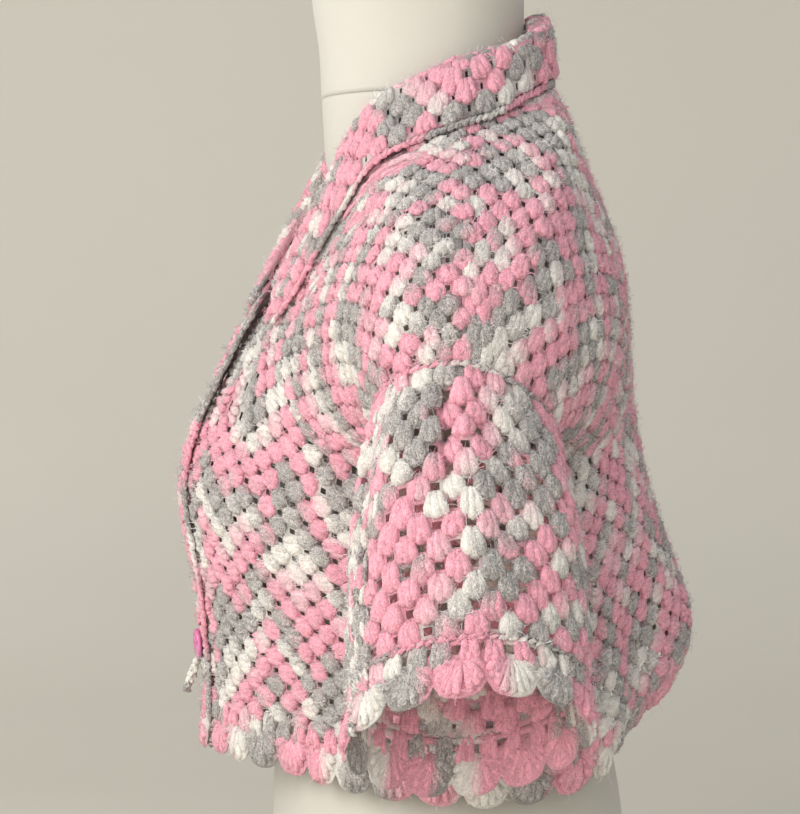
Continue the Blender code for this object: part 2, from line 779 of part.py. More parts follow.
def button_tab(mat, collection):
    """Short crochet tongue that hangs out from under the button."""
    seat, normal = button_seat()
    root = seat + normal * (0.6 * TAB_RADIUS + 2.0 * SEAM)
    root.z -= BUTTON_RADIUS + SEAM
    hang = Vector((0.0, -0.34, -0.94))
    shares = spread(0.0, 1.0, 9)
    points = [root + hang * TAB_LENGTH * share for share in shares]
    tab = cord("button_tab", points, TAB_RADIUS, mat, collection)
    for knot, share in zip(tab.data.splines[0].points, shares):
        knot.radius = 0.3 + 0.7 * math.sin(math.pi * (0.15 + 0.78 * share))


def torso_ring(row):
    side_z, front_z, back_z, half_width, front, back, fullness = row
    ring = []
    for i in range(FORM_STEPS):
        across, forward = squircle(2.0 * math.pi * i / FORM_STEPS, fullness)
        depth = front if forward > 0.0 else back
        centre_z = front_z if forward > 0.0 else back_z
        z = side_z + (centre_z - side_z) * abs(forward)
        ring.append(Vector((half_width * across, -depth * forward, z)))
    return ring


def dress_form(mat, collection):
    loft_ends("form_torso", [torso_ring(row) for row in TORSO], mat, collection)
    loft_ends("form_neck", [torso_ring(row) for row in FORM_NECK], mat, collection)


def build():
    clear_scene()
    collection = bpy.data.collections.new("crochet_cardigan_on_dress_form")
    bpy.context.scene.collection.children.link(collection)
    yarn = material("variegated_yarn", PALE_PINK, 0.9)
    edge_yarn = material("edge_yarn", GREY, 0.9)
    shell_yarn = material("shell_yarn", CREAM, 0.9)
    cotton = material("form_jersey", COTTON, 0.8)
    plastic = material("button_plastic", MAGENTA, 0.25)
    dress_form(cotton, collection)
    body_wall("front_left", front_left_row, PANEL_LEVELS, yarn, collection)
    body_wall("front_right", front_right_row, PANEL_LEVELS, yarn, collection)
    body_wall("back", back_row, PANEL_LEVELS, yarn, collection)
    hem_edging(shell_yarn, collection)
    sleeve_walls(yarn, collection)
    cuff_walls(shell_yarn, collection)
    rows = collar(yarn, collection)
    collar_edge(rows, edge_yarn, collection)
    front_edge(edge_yarn, collection)
    button(plastic, collection)
    button_tab(shell_yarn, collection)


build()
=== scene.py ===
"""Looks of a crochet cropped cardigan on a limbless dress form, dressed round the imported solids.

Each knitted panel is one chart: a smooth surface with two directions, along the
rows and across them. A panel gets a thin openwork cloth on its chart and the
treble clusters that stand out of it. The tables are those of the solids.
"""
import math

import bmesh
import bpy
import numpy as np
from mathutils import Matrix, Vector


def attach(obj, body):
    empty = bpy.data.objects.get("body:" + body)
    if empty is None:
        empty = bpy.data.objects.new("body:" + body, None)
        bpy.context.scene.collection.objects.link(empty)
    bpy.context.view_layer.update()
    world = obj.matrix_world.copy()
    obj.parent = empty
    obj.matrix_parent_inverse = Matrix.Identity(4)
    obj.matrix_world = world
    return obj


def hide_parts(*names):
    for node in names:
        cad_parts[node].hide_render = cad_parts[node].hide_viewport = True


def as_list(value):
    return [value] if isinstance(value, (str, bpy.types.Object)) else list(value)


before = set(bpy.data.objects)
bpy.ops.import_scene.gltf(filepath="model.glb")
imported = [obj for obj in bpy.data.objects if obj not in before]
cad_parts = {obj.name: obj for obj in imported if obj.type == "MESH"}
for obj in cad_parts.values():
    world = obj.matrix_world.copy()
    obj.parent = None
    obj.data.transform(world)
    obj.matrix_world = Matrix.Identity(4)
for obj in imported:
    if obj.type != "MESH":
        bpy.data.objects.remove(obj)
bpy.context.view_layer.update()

rng = np.random.RandomState(11)

# ---- camera: the photograph looks at the wearer's left side --------------------
PIXEL = 0.0006                    # metres a pixel at the body's middle
CAMERA_TURN = math.radians(83.0)  # from the front, towards the wearer's left
CAMERA_DISTANCE = 1.6
CAMERA_ACROSS = -0.024
CAMERA_HEIGHT = 0.344
PHOTO_WIDTH = 800
FILM_WIDTH = 36.0                 # millimetres

camera_data = bpy.data.cameras.new("photo_camera")
camera = bpy.data.objects.new("photo_camera", camera_data)
bpy.context.scene.collection.objects.link(camera)
right = Vector((math.cos(CAMERA_TURN), math.sin(CAMERA_TURN), 0.0))
ahead = Vector((-math.sin(CAMERA_TURN), math.cos(CAMERA_TURN), 0.0))
camera.location = (right * CAMERA_ACROSS + Vector((0.0, 0.0, CAMERA_HEIGHT))
                   - ahead * CAMERA_DISTANCE)
camera.rotation_euler = ahead.to_track_quat("-Z", "Y").to_euler()
camera_data.sensor_fit = "HORIZONTAL"
camera_data.sensor_width = FILM_WIDTH
camera_data.lens = FILM_WIDTH * CAMERA_DISTANCE / (PHOTO_WIDTH * PIXEL)
bpy.context.scene.camera = camera

# ---- cloth ------------------------------------------------------------------
WALL = 0.003            # crochet fabric of treble clusters
SEAM = 0.0003           # gap between two sewn pieces
COLLAR_WALL = 0.003
LAP = 0.012             # how far each front passes the centre line
UNDERARM = 0.50         # level of the underarm
EDGING_TOP = 0.085      # level where the hem edging is worked onto the body
V_POINT = 0.69          # level of the bottom of the neck opening
BACK_NECK = 0.955       # level of the middle of the back neckline
NECK_HALF = 0.072       # half width of the neckline on the shoulder line

# Rings of the body. Level 0 is the tips of the hem shells, 1 the shoulder line.
# Depths run from the side seam's plane; each height is the ring's own there.
BODY_COLUMNS = ("level", "half_width", "side_z",
                "front_depth", "front_z", "front_full", "front_rise",
                "back_depth", "back_z", "back_full", "back_rise")
BODY = (
    (0.000, 0.170, 0.128, 0.139, 0.142, 1.60, 2.00, 0.127, 0.202, 2.20, 1.60),
    (0.085, 0.172, 0.160, 0.138, 0.174, 1.60, 2.00, 0.141, 0.229, 2.20, 1.60),
    (0.250, 0.167, 0.215, 0.142, 0.227, 1.62, 2.00, 0.135, 0.257, 2.15, 1.70),
    (0.420, 0.159, 0.275, 0.152, 0.297, 1.70, 2.00, 0.123, 0.295, 2.10, 1.80),
    (0.500, 0.151, 0.315, 0.145, 0.327, 1.75, 2.00, 0.115, 0.332, 2.00, 2.00),
    (0.620, 0.151, 0.315, 0.118, 0.378, 1.80, 1.80, 0.109, 0.382, 2.00, 1.80),
    (0.740, 0.151, 0.315, 0.092, 0.421, 1.80, 1.60, 0.102, 0.435, 2.00, 1.55),
    (0.860, 0.151, 0.315, 0.070, 0.466, 1.85, 1.45, 0.083, 0.490, 2.00, 1.35),
    (0.955, 0.151, 0.315, 0.048, 0.508, 1.90, 1.40, 0.056, 0.543, 2.00, 1.18),
    (1.000, 0.151, 0.315, 0.000, 0.530, 2.00, 1.40, 0.000, 0.530, 2.00, 1.40),
)

# The armhole is an ellipse from the underarm up to the drop shoulder's end.
UNDERARM_X = 0.151
UNDERARM_Z = 0.315
ARM_TOP_X = 0.226
ARM_TOP_Z = 0.368
ARM_FRONT = 0.050
ARM_BACK = 0.046
ARM_BACK_DROP = 0.010   # the seam runs lower behind than in front
SHOULDER_FORWARD = 0.020
FRONT_STAND = 0.006     # the right front's edge stands clear of the left front

# Half width of the neck opening in the fronts.
NECK_COLUMNS = ("level", "x")
NECK = (
    (0.690, -LAP),
    (0.706, 0.003),
    (0.740, 0.012),
    (0.790, 0.025),
    (0.860, 0.043),
    (0.940, 0.061),
    (1.000, NECK_HALF),
)

# Soft folds. around: 0 front centre, 1 side, 2 back centre, on both sides.
# Columns: around, width, depth, low, high.
BODY_FOLDS = (
    (0.42, 0.10, -0.0040, -0.10, 0.36),
    (0.72, 0.12, 0.0050, -0.12, 0.40),
    (1.28, 0.10, 0.0060, -0.15, 0.42),
    (1.50, 0.10, -0.0090, -0.15, 0.46),
    (1.74, 0.12, 0.0050, -0.15, 0.42),
)

# ---- sleeve -----------------------------------------------------------------
CUFF_CENTRE = (0.236, -0.018, 0.200)    # middle of the ring where the cuff starts
CUFF_HALF_WIDTH = 0.058                 # across, in the ring's tilted plane
CUFF_HALF_DEPTH = 0.062                 # front to back
CUFF_TILT = math.radians(33)            # outer side higher than the inner
CUFF_LENGTH = 0.21                      # share of the sleeve's own length
SLEEVE_SWELL = 0.006                    # how much the tube swells half way down
SLEEVE_FULLNESS = 1.85                  # under 2: front and back edges draw in
SLEEVE_FOLDS = (                        # around: 0 inner side, 1 front, 2 outer, 3 back
    (2.02, 0.16, -0.0055, -0.30, 0.42),
    (1.55, 0.20, 0.0030, 0.10, 1.10),
    (2.55, 0.18, 0.0035, 0.00, 0.90),
)

# ---- shells of the edgings ---------------------------------------------------
SHELL_WIDTH = 0.026
SHELL_NOTCH = 0.008

# ---- collar -----------------------------------------------------------------
# Stations from the lapel's foot to the back centre. fall_x and fall_y place the
# fall edge on the body; stand is the height of the roll over the seam.
COLLAR_COLUMNS = ("station", "stand", "lean", "fall_x", "fall_y")
COLLAR = (
    (0.00, 0.003, 0.000, 0.054, -0.103),
    (0.14, 0.006, 0.000, 0.067, -0.093),
    (0.28, 0.010, 0.001, 0.081, -0.082),
    (0.40, 0.015, 0.002, 0.094, -0.069),
    (0.50, 0.020, 0.002, 0.103, -0.055),
    (0.58, 0.024, 0.002, 0.108, -0.039),
    (0.66, 0.029, 0.003, 0.106, -0.006),
    (0.72, 0.031, 0.003, 0.094, 0.019),
    (0.78, 0.033, 0.003, 0.076, 0.036),
    (0.84, 0.034, 0.003, 0.060, 0.050),
    (0.90, 0.035, 0.003, 0.041, 0.059),
    (1.00, 0.036, 0.003, 0.000, 0.064),
)
COLLAR_FOOT = 0.708     # level of the lapel's foot on the neckline
SHOULDER_STATION = 0.66 # where the collar's foot crosses the shoulder line
ROLL_PASSES = 8          # how softly the roll bends
ROLL_SPREAD = 0.011     # between the stand and the fall, at the roll
FALL_CLEAR = 0.0026     # under the fall edge
FOOT_CLEAR = 0.0002     # under the stand's foot

# ---- trims ------------------------------------------------------------------
CORD_RADIUS = 0.0022
BUTTON_RADIUS = 0.0088
BUTTON_THICK = 0.0034
BUTTON_LEVEL = 0.182
BUTTON_X = 0.004
BUTTON_CLEAR = 0.0006
TAB_RADIUS = 0.0028
TAB_LENGTH = 0.021

# ---- dress form -------------------------------------------------------------
NECK_SEAM_Z = 0.5276
# Columns: side_z, front_z, back_z, half_width, front, back, fullness.
TORSO = (
    (0.000, 0.000, 0.000, 0.146, 0.098, 0.106, 2.3),
    (0.050, 0.050, 0.050, 0.150, 0.099, 0.108, 2.3),
    (0.110, 0.110, 0.110, 0.147, 0.099, 0.104, 2.3),
    (0.170, 0.170, 0.170, 0.132, 0.095, 0.094, 2.3),
    (0.225, 0.225, 0.225, 0.122, 0.096, 0.088, 2.2),
    (0.285, 0.285, 0.285, 0.131, 0.122, 0.092, 2.2),
    (0.330, 0.325, 0.335, 0.137, 0.120, 0.094, 2.2),
    (0.375, 0.372, 0.385, 0.146, 0.103, 0.096, 2.2),
    (0.415, 0.414, 0.430, 0.160, 0.087, 0.092, 2.2),
    (0.4490, 0.4458, 0.4620, 0.162, 0.075, 0.081, 2.1),
    (0.4708, 0.4598, 0.4785, 0.147, 0.069, 0.074, 2.0),
    (0.4885, 0.4718, 0.4915, 0.120, 0.066, 0.067, 1.8),
    (0.498, 0.482, 0.500, 0.090, 0.067, 0.059, 1.8),
    (0.507, 0.495, 0.509, 0.068, 0.069, 0.052, 1.9),
    (0.517, 0.512, 0.518, 0.059, 0.070, 0.050, 2.0),
    (NECK_SEAM_Z, NECK_SEAM_Z, NECK_SEAM_Z, 0.058, 0.071, 0.050, 2.0),
)
FORM_NECK = (
    (NECK_SEAM_Z + SEAM, NECK_SEAM_Z + SEAM, NECK_SEAM_Z + SEAM, 0.0585, 0.0712, 0.0502, 2.0),
    (0.552, 0.552, 0.552, 0.0590, 0.0722, 0.0500, 2.0),
    (0.588, 0.588, 0.588, 0.0605, 0.0770, 0.0500, 2.0),
    (0.622, 0.622, 0.622, 0.0620, 0.0790, 0.0510, 2.0),
    (0.634, 0.634, 0.634, 0.0590, 0.0760, 0.0480, 2.0),
    (0.640, 0.640, 0.640, 0.0480, 0.0640, 0.0380, 2.0),
)


def column(table, columns, name, at):
    """Smooth value of one column of a table at a place in its first column."""
    pick = columns.index(name)
    places = [row[0] for row in table]
    values = [row[pick] for row in table]
    last = len(table) - 1
    i = 0
    while i < last - 1 and at > places[i + 1]:
        i += 1
    slopes = [(values[k + 1] - values[k]) / (places[k + 1] - places[k]) for k in range(last)]

    def tangent(k):
        if k == 0:
            return slopes[0]
        if k == last:
            return slopes[-1]
        if slopes[k - 1] * slopes[k] <= 0.0:
            return 0.0
        return 2.0 * slopes[k - 1] * slopes[k] / (slopes[k - 1] + slopes[k])

    span = places[i + 1] - places[i]
    t = (at - places[i]) / span
    if t < 0.0:
        return values[i] + tangent(i) * (at - places[i])
    h00 = 2 * t ** 3 - 3 * t ** 2 + 1
    h10 = t ** 3 - 2 * t ** 2 + t
    h01 = -2 * t ** 3 + 3 * t ** 2
    h11 = t ** 3 - t ** 2
    return (h00 * values[i] + h10 * span * tangent(i)
            + h01 * values[i + 1] + h11 * span * tangent(i + 1))


def smooth(t):
    t = min(max(t, 0.0), 1.0)
    return t * t * (3.0 - 2.0 * t)


def fold_height(folds, around, along):
    """Outward height of the soft folds at a place on a surface."""
    height = 0.0
    for place, width, depth, low, high in folds:
        across = math.exp(-((around - place) / width) ** 2)
        fade = smooth((high - along) / (0.5 * (high - low)))
        height += depth * across * fade
    return height


def squircle(angle, fullness):
    """Unit superellipse: how far across and how far forward at an angle."""
    s = math.sin(angle)
    c = math.cos(angle)
    reach = (abs(s) ** fullness + abs(c) ** fullness) ** (-1.0 / fullness)
    return reach * s, reach * c


def angle_of(across, fullness):
    """Angle at which the unit superellipse is this far across."""
    share = min(abs(across), 0.9999)
    forward = (1.0 - share ** fullness) ** (1.0 / fullness)
    return math.copysign(math.atan2(share, forward), across)


def armhole(level):
    """Armhole seam: x, depth share and z at a level over the underarm."""
    turn = math.pi * min(max((level - UNDERARM) / (1.0 - UNDERARM), 0.0), 1.0)
    rise = 0.5 * (1.0 - math.cos(turn))
    x = UNDERARM_X + (ARM_TOP_X - UNDERARM_X) * rise
    z = UNDERARM_Z + (ARM_TOP_Z - UNDERARM_Z) * rise
    return x, math.sin(turn), z


def body(around, level):
    """Point of the body's outer surface, before the fronts lap.

    around runs 0 front centre, 1 left side, 2 back centre, 3 right side, 4 front.
    """
    mirrored = around > 2.0
    place = 4.0 - around if mirrored else around
    in_front = place <= 1.0
    which = "front" if in_front else "back"
    angle = 0.5 * math.pi * (place if in_front else 2.0 - place)
    fullness = column(BODY, BODY_COLUMNS, which + "_full", level)
    across, forward = squircle(angle, fullness)
    depth = column(BODY, BODY_COLUMNS, which + "_depth", level)
    centre_z = column(BODY, BODY_COLUMNS, which + "_z", level)
    if level > UNDERARM:
        half_width, arm, side_z = armhole(level)
        if not in_front:
            side_z -= ARM_BACK_DROP * arm * smooth((level - UNDERARM) / (0.6 * (1.0 - UNDERARM)))
        arm *= ARM_FRONT if in_front else ARM_BACK
    else:
        half_width = column(BODY, BODY_COLUMNS, "half_width", level)
        side_z = column(BODY, BODY_COLUMNS, "side_z", level)
        arm = 0.0
    over = smooth((level - UNDERARM) / (1.0 - UNDERARM) * 2.0)
    rise = column(BODY, BODY_COLUMNS, which + "_rise", level)
    share = max(1.0 - abs(across) ** rise, 0.0)
    drop = share ** (1.0 - 0.5 * over)
    x = half_width * across
    y = arm + (depth - arm) * forward
    z = side_z + (centre_z - side_z) * drop
    push = fold_height(BODY_FOLDS, place, level)
    length = math.hypot(x / half_width, forward) or 1.0
    x += push * across / length
    y += push * forward / length
    y = -y if in_front else y
    if level > UNDERARM:
        y -= SHOULDER_FORWARD * (half_width - UNDERARM_X) / (ARM_TOP_X - UNDERARM_X) * across * across
    return Vector((-x if mirrored else x, y, z))


def lapped(around, level):
    """Body surface with the right front lifted to lie on the left one."""
    point = body(around, level)
    if around > 3.0:
        lift = smooth(1.0 - (4.0 - around - LAP_TURN) / (6.0 * LAP_TURN))
        stand = FRONT_STAND * math.exp(-((level - V_POINT) / 0.16) ** 2)
        point.y -= (WALL + 2.0 * SEAM + stand) * lift
    return point


def cross_normal(surface, u, v, step=0.002):
    """Unit normal of a surface, pointing out of the garment."""
    du = surface(u + step, v) - surface(u - step, v)
    dv = surface(u, v + step) - surface(u, v - step)
    return du.cross(dv).normalized()


def body_normal(around, level):
    """Outward normal of the body; the shoulder seam keeps one shared normal."""
    level = min(level, 0.996)
    gap = 0.004
    place = around
    if 0.0 < abs(around - 1.0) < gap:
        place = 1.0 - gap if around < 1.0 else 1.0 + gap
    if 0.0 < abs(around - 3.0) < gap:
        place = 3.0 - gap if around < 3.0 else 3.0 + gap
    normal = cross_normal(lapped, place, level)
    ridge = smooth((1.0 - level) / 0.05)
    normal.y *= ridge
    return normal.normalized()


LAP_TURN = LAP / column(BODY, BODY_COLUMNS, "half_width", 0.0) / (0.5 * math.pi)


def neck_around(level):
    """Where the neckline crosses a level of the left front."""
    x = -LAP if level <= V_POINT else column(NECK, NECK_COLUMNS, "x", level)
    half_width = column(BODY, BODY_COLUMNS, "half_width", level)
    if level > UNDERARM:
        half_width = armhole(level)[0]
    fullness = column(BODY, BODY_COLUMNS, "front_full", level)
    return angle_of(x / half_width, fullness) / (0.5 * math.pi)


NECK_AROUND = 2.0 - neck_around(1.0)


def back_top(around):
    """Highest level of the back at a place around: the neckline, then the shoulder."""
    edge = abs(2.0 - around) / (2.0 - NECK_AROUND)
    if edge >= 1.0:
        return 1.0
    return 1.0 - (1.0 - BACK_NECK) * math.sqrt(1.0 - edge ** 2.5)


def spread(low, high, count):
    return [low + (high - low) * i / (count - 1) for i in range(count)]


def armhole_point(around):
    """Armhole seam of the left side; 0 underarm, 1 front, 2 top, 3 back."""
    around %= 4.0
    if around <= 2.0:
        return body(1.0, UNDERARM + (1.0 - UNDERARM) * around / 2.0)
    return body(1.0 + 1e-6, UNDERARM + (1.0 - UNDERARM) * (4.0 - around) / 2.0)


def cuff_point(around):
    """Ring where the cuff starts, seen along the sleeve."""
    angle = 0.5 * math.pi * around
    depth, across = squircle(angle, SLEEVE_FULLNESS)
    across *= -CUFF_HALF_WIDTH
    depth *= -CUFF_HALF_DEPTH
    x, y, z = CUFF_CENTRE
    return Vector((x + across * math.cos(CUFF_TILT), y + depth, z + across * math.sin(CUFF_TILT)))


ARM_NORMAL = Vector((ARM_TOP_Z - UNDERARM_Z, 0.0, UNDERARM_X - ARM_TOP_X)).normalized()


def sleeve(around, along):
    """Point of the left sleeve's outer surface; along 0 armhole, 1 cuff seam."""
    top = armhole_point(around) + ARM_NORMAL * 4.0 * SEAM
    end = cuff_point(around)
    point = top.lerp(end, along)
    middle = (armhole_point(0.0) + armhole_point(2.0)).lerp(
        cuff_point(0.0) + cuff_point(2.0), along) * 0.5
    outward = point - middle
    outward.normalize()
    swell = SLEEVE_SWELL * math.sin(math.pi * min(along, 1.0))
    swell *= 0.2 + 0.8 * math.sin(0.25 * math.pi * (around % 4.0))
    return point + outward * (swell + fold_height(SLEEVE_FOLDS, around % 4.0, along) * smooth(along * 4.0))


def on_body(x, y):
    """Place on the body's outer surface over or under a spot, left half."""
    shoulder_y = -SHOULDER_FORWARD * (x / ARM_TOP_X) ** 2
    behind = y > shoulder_y

    def place(level):
        half_width = armhole(level)[0] if level > UNDERARM else UNDERARM_X
        fullness = column(BODY, BODY_COLUMNS, "back_full" if behind else "front_full", level)
        turn = angle_of(x / half_width, fullness) / (0.5 * math.pi)
        return 2.0 - turn if behind else turn

    low = UNDERARM
    high = 1.0 - 1e-4
    for _ in range(30):
        middle = 0.5 * (low + high)
        reached = body(place(middle), middle).y
        if (reached > y) == behind:
            low = middle
        else:
            high = middle
    return place(low), low


def collar_seam(station):
    """Place on the neckline: 0 lapel foot, shoulder at SHOULDER_STATION, 1 back."""
    if station <= SHOULDER_STATION:
        share = station / SHOULDER_STATION
        level = COLLAR_FOOT + (0.9995 - COLLAR_FOOT) * share * (1.3 - 0.3 * share)
        return neck_around(level), level
    share = (station - SHOULDER_STATION) / (1.0 - SHOULDER_STATION)
    edge = max(math.cos(0.5 * math.pi * share), 0.0) ** 0.8
    place = 2.0 - (2.0 - NECK_AROUND) * edge
    return place, back_top(place)


def collar_section(station, side):
    """Middle line of the collar's cloth at a station, seam to fall edge."""
    place, level = collar_seam(station)
    stand = column(COLLAR, COLLAR_COLUMNS, "stand", station)
    lean = column(COLLAR, COLLAR_COLUMNS, "lean", station)
    fall_x = column(COLLAR, COLLAR_COLUMNS, "fall_x", station)
    fall_y = column(COLLAR, COLLAR_COLUMNS, "fall_y", station)
    if side > 0:
        seam = lapped(place, level)
        seam_normal = body_normal(place, level)
    else:
        seam = lapped(4.0 - place, level)
        seam_normal = body_normal(4.0 - place, level)
    fall_place, fall_level = on_body(fall_x, fall_y)
    if side < 0:
        fall_place = 4.0 - fall_place
    fall_normal = body_normal(fall_place, fall_level)
    up = Vector((0.0, 0.0, 1.0))
    fall = lapped(fall_place, fall_level) + fall_normal * (0.5 * COLLAR_WALL + FALL_CLEAR)
    foot = seam + seam_normal * (0.5 * COLLAR_WALL + FOOT_CLEAR)
    outward = Vector((fall.x - foot.x, fall.y - foot.y, 0.0))
    outward.normalize()
    roll = foot + up * stand - outward * lean
    over = roll + outward * ROLL_SPREAD
    down = (fall - over).normalized()
    room = 2.2 * CORD_RADIUS * max(-down.dot(fall_normal), 0.0)
    return [foot, roll, over, fall - down * room]


def even_points(points, count):
    """Points at even steps along a line of straight runs."""
    lengths = [0.0]
    for a, b in zip(points, points[1:]):
        lengths.append(lengths[-1] + (b - a).length)
    result = []
    k = 0
    for i in range(count):
        goal = lengths[-1] * i / (count - 1)
        while k < len(points) - 2 and lengths[k + 1] < goal:
            k += 1
        share = (goal - lengths[k]) / (lengths[k + 1] - lengths[k])
        result.append(points[k].lerp(points[k + 1], share))
    return result


def rounded(points, count):
    """The same line with its corners turned into soft bends; its ends stay."""
    fine = even_points(points, 4 * count)
    for _ in range(ROLL_PASSES):
        middle = [(a + b * 2.0 + c) * 0.25 for a, b, c in zip(fine, fine[1:], fine[2:])]
        fine = [fine[0]] + middle + [fine[-1]]
    return even_points(fine, count)


def button_seat():
    """Where the button lies on the right front, and the way it faces."""
    place = 4.0 + BUTTON_X / 0.16 / (0.5 * math.pi)
    return lapped(place, BUTTON_LEVEL), body_normal(place, BUTTON_LEVEL)


# ---- yarn and stitches ---------------------------------------------------------
PINK = "#F5A7B7"
BLUSH = "#F2C2C8"
CREAM_YARN = "#F1EBE1"
GREY_YARN = "#ACA6A1"
YARN_RUN = (                # the dyed yarn repeats: colour, its length in clusters, its heather
    (PINK, 1.7, 0.4),
    (CREAM_YARN, 0.8, 0.25),
    (GREY_YARN, 1.2, 0.85),
    (PINK, 1.3, 0.4),
    (BLUSH, 0.4, 0.35),
    (CREAM_YARN, 0.6, 0.25),
    (GREY_YARN, 0.9, 0.85),
)
BLEND = 0.34                # clusters over which one colour runs into the next
ROW = 0.0107                # a row of clusters on the sleeve
PITCH = 0.0172              # cluster to cluster on the sleeve
BODY_ROW = 0.0092
BODY_PITCH = 0.0152
BODY_GAP = 0.095            # half width of a hole, as a share of the pitch
NET_THICK = 0.0008
NET_PAINTED_SHADE = 0.78            # painted shade: the cloth under the clusters is coloured darker than its yarn, for the shade in the hollows between them
SLEEVE_GAP = 0.14
COLLAR_PITCH = 0.0166
COLLAR_ROW = 0.0112
COLLAR_GAP = 0.05
HOLE_LOW = 0.30             # where a hole starts and ends, as shares of a row
HOLE_HIGH = 0.70
BODY_FLAT = 0.62            # thickness of a treble off the cloth, as a share of its width
LOBE_FOOT = 0.11            # outer trebles off a cluster's middle at the foot, in pitches
LOBE_HEAD = 0.22            # and at the head
LOBE_THIN = 0.150           # radius of a treble at its foot, as a share of the pitch
LOBE_THICK = 0.232          # and at its head
CLUSTER_LOW = 0.27          # how far a cluster reaches under its own row, in rows
CLUSTER_HIGH = 1.30         # and over the row's foot
ARCH = 0.0009               # how far a treble bows off the cloth
PULLED_STRANDS = 4          # strands in place of a cluster where the rows are drawn out


def linear(code, alpha=1.0):
    """An sRGB hex colour as the linear values that Blender takes."""
    parts = [int(code[i:i + 2], 16) / 255.0 for i in (1, 3, 5)]
    return [c / 12.92 if c <= 0.04045 else ((c + 0.055) / 1.055) ** 2.4 for c in parts] + [alpha]


RUN_ENDS = np.cumsum([length for _, length, _ in YARN_RUN])
RUN_COLOURS = [np.array(linear(code, heather)) for code, _, heather in YARN_RUN]
GREY_RUN = RUN_COLOURS[2]


def yarn_colour(length):
    """Colour of the dyed yarn after so many clusters, with its heather as the fourth value."""
    at = length % RUN_ENDS[-1]
    k = int(np.searchsorted(RUN_ENDS, at, side="right")) % len(YARN_RUN)
    into_next = (at - (RUN_ENDS[k] - BLEND)) / BLEND
    mix = smooth(into_next)
    return RUN_COLOURS[k] * (1.0 - mix) + RUN_COLOURS[(k + 1) % len(YARN_RUN)] * mix


class Chart:
    """A surface as a grid of points: s runs along the rows, t across them."""

    def __init__(self, points, flip=1.0, closed=False, sink=0.0):
        points = np.asarray(points, float)
        du = np.gradient(points, axis=0)
        dv = np.gradient(points, axis=1)
        if closed:
            du[0] = du[-1] = 0.5 * (points[1] - points[-2])
        normals = np.cross(du, dv) * flip
        normals /= np.maximum(np.linalg.norm(normals, axis=2, keepdims=True), 1e-9)
        self.points = points - sink * normals
        self.normals = normals
        self.closed = closed
        middle = self.points[:, points.shape[1] // 2]
        self.along = np.linalg.norm(np.diff(middle, axis=0), axis=1).sum()
        self.across = np.linalg.norm(np.diff(self.points, axis=1), axis=2).sum(axis=1).mean()

    def at(self, s, t):
        """Points and normals at places s, t from 0 to 1, carried on straight a little past the edges."""
        s = np.asarray(s, float)
        t = np.asarray(t, float)
        if self.closed:
            s = s % 1.0
        rows, columns = self.points.shape[:2]
        x = s * (rows - 1)
        y = t * (columns - 1)
        i = np.clip(x.astype(int), 0, rows - 2)
        j = np.clip(y.astype(int), 0, columns - 2)
        fx = (x - i)[..., None]
        fy = (y - j)[..., None]

        def blend(grid):
            low = grid[i, j] * (1.0 - fy) + grid[i, j + 1] * fy
            high = grid[i + 1, j] * (1.0 - fy) + grid[i + 1, j + 1] * fy
            return low * (1.0 - fx) + high * fx

        normals = blend(self.normals)
        return blend(self.points), normals / np.linalg.norm(normals, axis=-1, keepdims=True)

    def mirrored(self):
        twin = Chart.__new__(Chart)
        twin.points = self.points * (-1.0, 1.0, 1.0)
        twin.normals = self.normals * (-1.0, 1.0, 1.0)
        twin.closed = self.closed
        twin.along = self.along
        twin.across = self.across
        return twin


class Pool:
    """Where the dyed colours fall in a panel: neighbouring rows drift apart by uneven steps."""

    def __init__(self, start, rows):
        steps = rng.uniform(0.15, 1.0, rows) * rng.choice((-1.0, 1.0), rows)
        self.phase = start + np.concatenate([[0.0], np.cumsum(steps)])
        self.waves = rng.uniform(0.25, 0.9, (3, 3))

    def at(self, r, k):
        row = min(max(int(r), 0), len(self.phase) - 1)
        wander = sum(0.55 * math.sin(a * k + 2.2 * b * row + 7.0 * c) for a, b, c in self.waves)
        return yarn_colour(self.phase[row] + 0.8 * k + wander)


def shaded(colour, amount):
    """A yarn colour made lighter or darker; its heather stays."""
    return np.concatenate([colour[:3] * amount, colour[3:]])


def pooled(patches, s, t):
    """The colour of the patch that a place is in, or None; the patches have ragged edges."""
    for code, heather, middle, half in patches:
        off = math.hypot((s - middle[0]) / half[0], (t - middle[1]) / half[1])
        if off < rng.uniform(0.75, 1.1):
            return np.array(linear(code, heather))
    return None


def even_line(points, count):
    """Points at even distances along a line."""
    points = np.asarray(points, float)
    lengths = np.concatenate([[0.0], np.cumsum(np.linalg.norm(np.diff(points, axis=0), axis=1))])
    goals = np.linspace(0.0, lengths[-1], count)
    return np.stack([np.interp(goals, lengths, points[:, k]) for k in range(3)], axis=1)


def even_rows(rows, count):
    """The same rows of points, respaced so that the middle line is even."""
    rows = np.asarray(rows, float)
    middle = rows[:, rows.shape[1] // 2]
    lengths = np.concatenate([[0.0], np.cumsum(np.linalg.norm(np.diff(middle, axis=0), axis=1))])
    goals = np.linspace(0.0, lengths[-1], count)
    flat = rows.reshape(len(rows), -1)
    spaced = np.stack([np.interp(goals, lengths, flat[:, k]) for k in range(flat.shape[1])], axis=1)
    return spaced.reshape(count, rows.shape[1], 3)


def treble_ball():
    """A treble's form: a ball of few faces, to be drawn out between two points."""
    bm = bmesh.new()
    bmesh.ops.create_uvsphere(bm, u_segments=6, v_segments=5, radius=1.0)
    bm.verts.ensure_lookup_table()
    places = np.array([v.co for v in bm.verts])
    faces = [[v.index for v in f.verts] for f in bm.faces]
    bm.free()
    return places, faces


